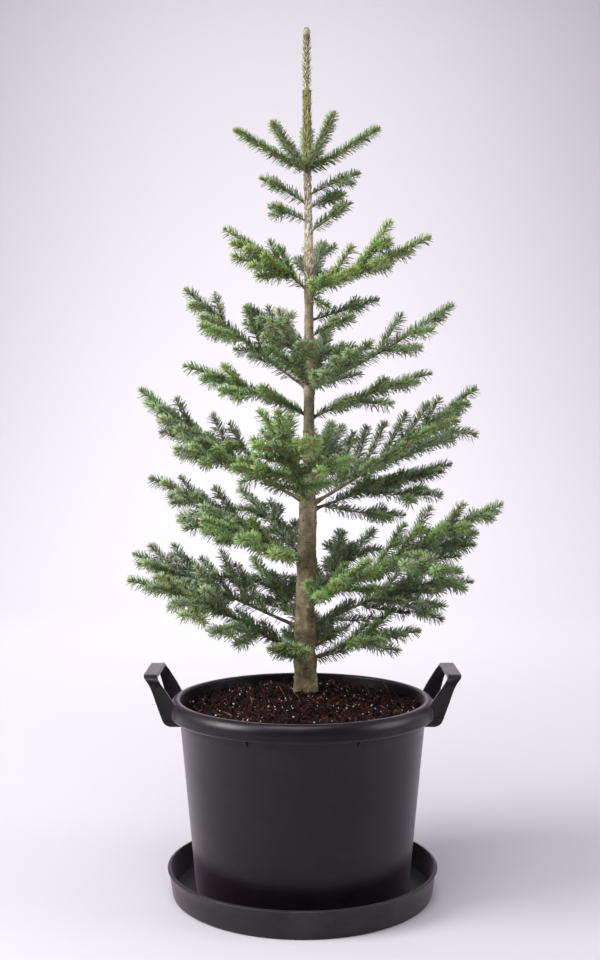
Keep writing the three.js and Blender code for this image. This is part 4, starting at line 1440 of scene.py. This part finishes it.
def budCluster(axis, random, size):
    # One bud at the tip and two or three beside it, resinous and blunt
    place, heading = along(axis, 1.0)
    side, up = crossFrames(heading[None], 0)
    parts = []
    for i in range(random.integers(3, 5)):
        turn = 2.1 * i + random.uniform(-0.3, 0.3)
        splay = 0.0 if i == 0 else 0.62
        aim = heading + (side[0] * math.cos(turn) + up[0] * math.sin(turn)) * splay
        aim /= np.linalg.norm(aim)
        length = size * (1.0 if i == 0 else 0.78)
        shares = np.array([-0.25, 0.15, 0.5, 0.82, 1.0])
        radii = length * np.array([0.24, 0.40, 0.44, 0.30, 0.08])
        places = place + aim * (shares * length)[:, None]
        parts.append(tubeMesh(places, np.repeat(aim[None], 5, 0), radii, 6))
    return parts


leaderRows = [               # low, high, needles per millimetre, length, lean in degrees, tone
    (1306, 1440, 2.8, 15.0, 19, "leader"),
    (1360, 1440, 0.9, 15.0, 27, "leader"),
    (1306, 1440, 0.5, 15.0, 24, "tip"),
    (1306, 1440, 1.3, 14.0, 20, "shade"),
    (1432, 1444, 3.6, 9.5, 44, "leader"),
    (1452, 1536, 0.60, 12.0, 33, "leader"),
    (1452, 1536, 0.90, 11.5, 35, "shade"),
    (1533, 1541, 2.2, 8.0, 44, "shade"),
]
leaderTop = 1556             # no needle reaches higher
scaleSet = {
    "count": 900,
    "low": 1086,
    "range": 208,
    "lean": (6, 21),
    "length": (7, 13),
    "width": (1.8, 3.0),
    "thick": 0.9,
}


def pressedBlades(heights, turns, sunk, tilt, lengths, widths, thick):
    # Blades round the trunk that point up along it, tilted out
    upward = np.array([0, 0, 1.0])
    outward = np.stack([np.cos(turns), np.sin(turns), np.zeros(len(turns))], 1)
    centres = np.array([trunkMiddle(z) for z in heights])
    radii = np.array([trunkRadius(z * mm) / mm for z in heights])
    bases = centres + outward * (radii - sunk)[:, None]
    directions = outward * np.sin(tilt)[:, None] + upward * np.cos(tilt)[:, None]
    return needleBlades(bases, directions, np.cross(upward, outward), lengths, widths, thick)


def leaderNeedles(random):
    # Needles pressed to the leader, dense below and sparser above
    blades = {"leader": [], "tip": [], "shade": []}
    for low, high, perLength, length, lean, tone in leaderRows:
        count = int((high - low) * perLength)
        heights = np.linspace(low, high, count) + random.uniform(-1, 1, count)
        turns = np.arange(count) * goldenTurn + random.uniform(-0.3, 0.3, count)
        tilt = np.radians(lean + random.normal(0, 4, count)).clip(0.05, 1.0)
        lengths = length * random.uniform(0.8, 1.1, count)
        lengths = np.minimum(lengths, (leaderTop - heights).clip(4, None))
        widths = needleSet["width"] * random.uniform(0.9, 1.15, count)
        blades[tone].append(pressedBlades(heights, turns, 0.4, tilt, lengths, widths, needleSet["thick"]))
    return blades


def trunkScales(random):
    # Old needle bases pressed to the upper trunk
    s = scaleSet
    count = s["count"]
    heights = s["low"] + s["range"] * random.uniform(0, 1, count) ** 0.8
    turns = np.arange(count) * goldenTurn
    tilt = np.radians(random.uniform(*s["lean"], count))
    lengths = random.uniform(*s["length"], count)
    widths = random.uniform(*s["width"], count)
    return pressedBlades(heights, turns, 0.7, tilt, lengths, widths, s["thick"])


def needlePiece(name, blades, materials, nodes=()):
    points = np.concatenate(blades)
    count = len(points)
    triangles = needleTriangles[None] + needleCorners * np.arange(count)[:, None, None]
    slots = np.tile(needleSlots, count)
    piece = arrayPiece(name, points.reshape(-1, 3) * mm, triangles.reshape(-1, 3), slots)
    finishPiece(piece, materials, nodes)
    return count


def dealTones(shoot, points, left, sprays, random):
    # Two tones for the shoot, with some yellow needles at its tip and some in shade
    tone, second = random.choice(toneMixes[shoot["tone"]], p=[0.5, 0.3, 0.2]).split()
    chance = random.uniform(0, 1, len(left))
    atTip = (left < 5) & (chance < shootKinds[shoot["kind"]]["yellow"])
    shaded = ~atTip & (chance < 0.14)
    mixed = ~atTip & ~shaded & (chance > 0.68)
    sprays["tip"].append(points[atTip])
    sprays["shade"].append(points[shaded])
    sprays[second].append(points[mixed])
    sprays[tone].append(points[~atTip & ~shaded & ~mixed])


def growTree(random):
    # All shoots, with their wood, their buds and their needles by tone
    boughTubes, twigTubes, buds = [], [], []
    sprays = {tone: [] for tone in toneColours}
    limbs = [growBough(index, row) for index, row in enumerate(boughRows)] + [growTopWhorl()]
    shoots = [shoot for limb in limbs for shoot in limb]
    for shoot in shoots:
        if shoot["kind"] == "bough":
            boughTubes.append(boughTube(shoot))
        else:
            twigTubes.append(twigTube(shoot))
        if shoot["axis"]["length"] > growth["budsFrom"]:
            size = shootKinds[shoot["kind"]]["bud"] * random.uniform(0.85, 1.1)
            buds += budCluster(shoot["axis"], random, size)
        grown = needlesOn(shoot, random)
        if grown is not None:
            dealTones(shoot, *grown, sprays, random)
    total = sum(shoot["axis"]["length"] for shoot in shoots)
    print("shoots", len(shoots), "length in metres", round(total * mm, 1))
    return boughTubes, twigTubes, buds, sprays


woodLooks = {                # tones, how fine the pattern is, relief
    "boughBark": ([(0.30, (0.060, 0.042, 0.026)), (0.48, (0.165, 0.132, 0.090)),
                   (0.62, (0.290, 0.245, 0.180))], 1.8, 0.5),
    "twigBark": ([(0.32, (0.290, 0.200, 0.090)), (0.55, (0.460, 0.340, 0.165)),
                  (0.70, (0.560, 0.440, 0.250))], 3.0, 0.3),
    "scaleBark": ([(0.40, (0.330, 0.260, 0.175)), (0.54, (0.660, 0.600, 0.490))], 3.0, 0.2),
}
budColour = (0.235, 0.165, 0.085)


def buildWood(name, tubes, material, smooth, nodes=()):
    points, triangles = joinArrays(tubes)
    piece = arrayPiece(name, points * mm, triangles)
    finishPiece(piece, [material], nodes, smooth)


def buildSprays(sprays, materials, nodes):
    # Each tone's needles in pieces that stay small enough for the export
    count = 0
    for tone, shootBlades in sprays.items():
        batch, size, number = [], 0, 1
        for blades in shootBlades + [None]:
            full = blades is not None and size + len(blades) > needleSet["mostInPiece"]
            if batch and (blades is None or full):
                count += needlePiece(f"needles_{tone}_{number}", batch, materials[tone], nodes)
                batch, size, number = [], 0, number + 1
            if blades is not None and len(blades):
                batch.append(blades)
                size += len(blades)
    return count


def buildFoliage():
    random = np.random.default_rng(needleSet["seed"])
    boughTubes, twigTubes, buds, sprays = growTree(random)
    foliageNodes = [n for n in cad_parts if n.startswith("foliage_")]
    boughNodes = [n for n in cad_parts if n.startswith("bough_")]
    wood = {name: barkMaterial(name, *look) for name, look in woodLooks.items()}
    buildWood("boughsBark", boughTubes, wood["boughBark"], 60, boughNodes)
    buildWood("twigs", twigTubes, wood["twigBark"], 60)
    buildWood("buds", buds, plainMaterial("budResin", budColour, 0.50, 0.4), 50)

    materials = {}
    for tone, (upper, lower) in toneColours.items():
        materials[tone] = [plainMaterial("needle_" + tone, upper, 0.40, 0.50),
                           plainMaterial("needleUnder_" + tone, lower, 0.62, 0.30)]
    leader = leaderNeedles(random)
    count = needlePiece("leaderNeedles", leader["leader"], materials["leader"], ["leader_needles"])
    count += needlePiece("leaderTips", leader["tip"], materials["tip"])
    count += needlePiece("leaderShade", leader["shade"], materials["shade"])
    count += needlePiece("trunkScales", [trunkScales(random)], [wood["scaleBark"]] * 2)
    count += buildSprays(sprays, materials, foliageNodes)
    print("needles", count)


buildFoliage()
print("boughs, twigs, buds and needles are made")
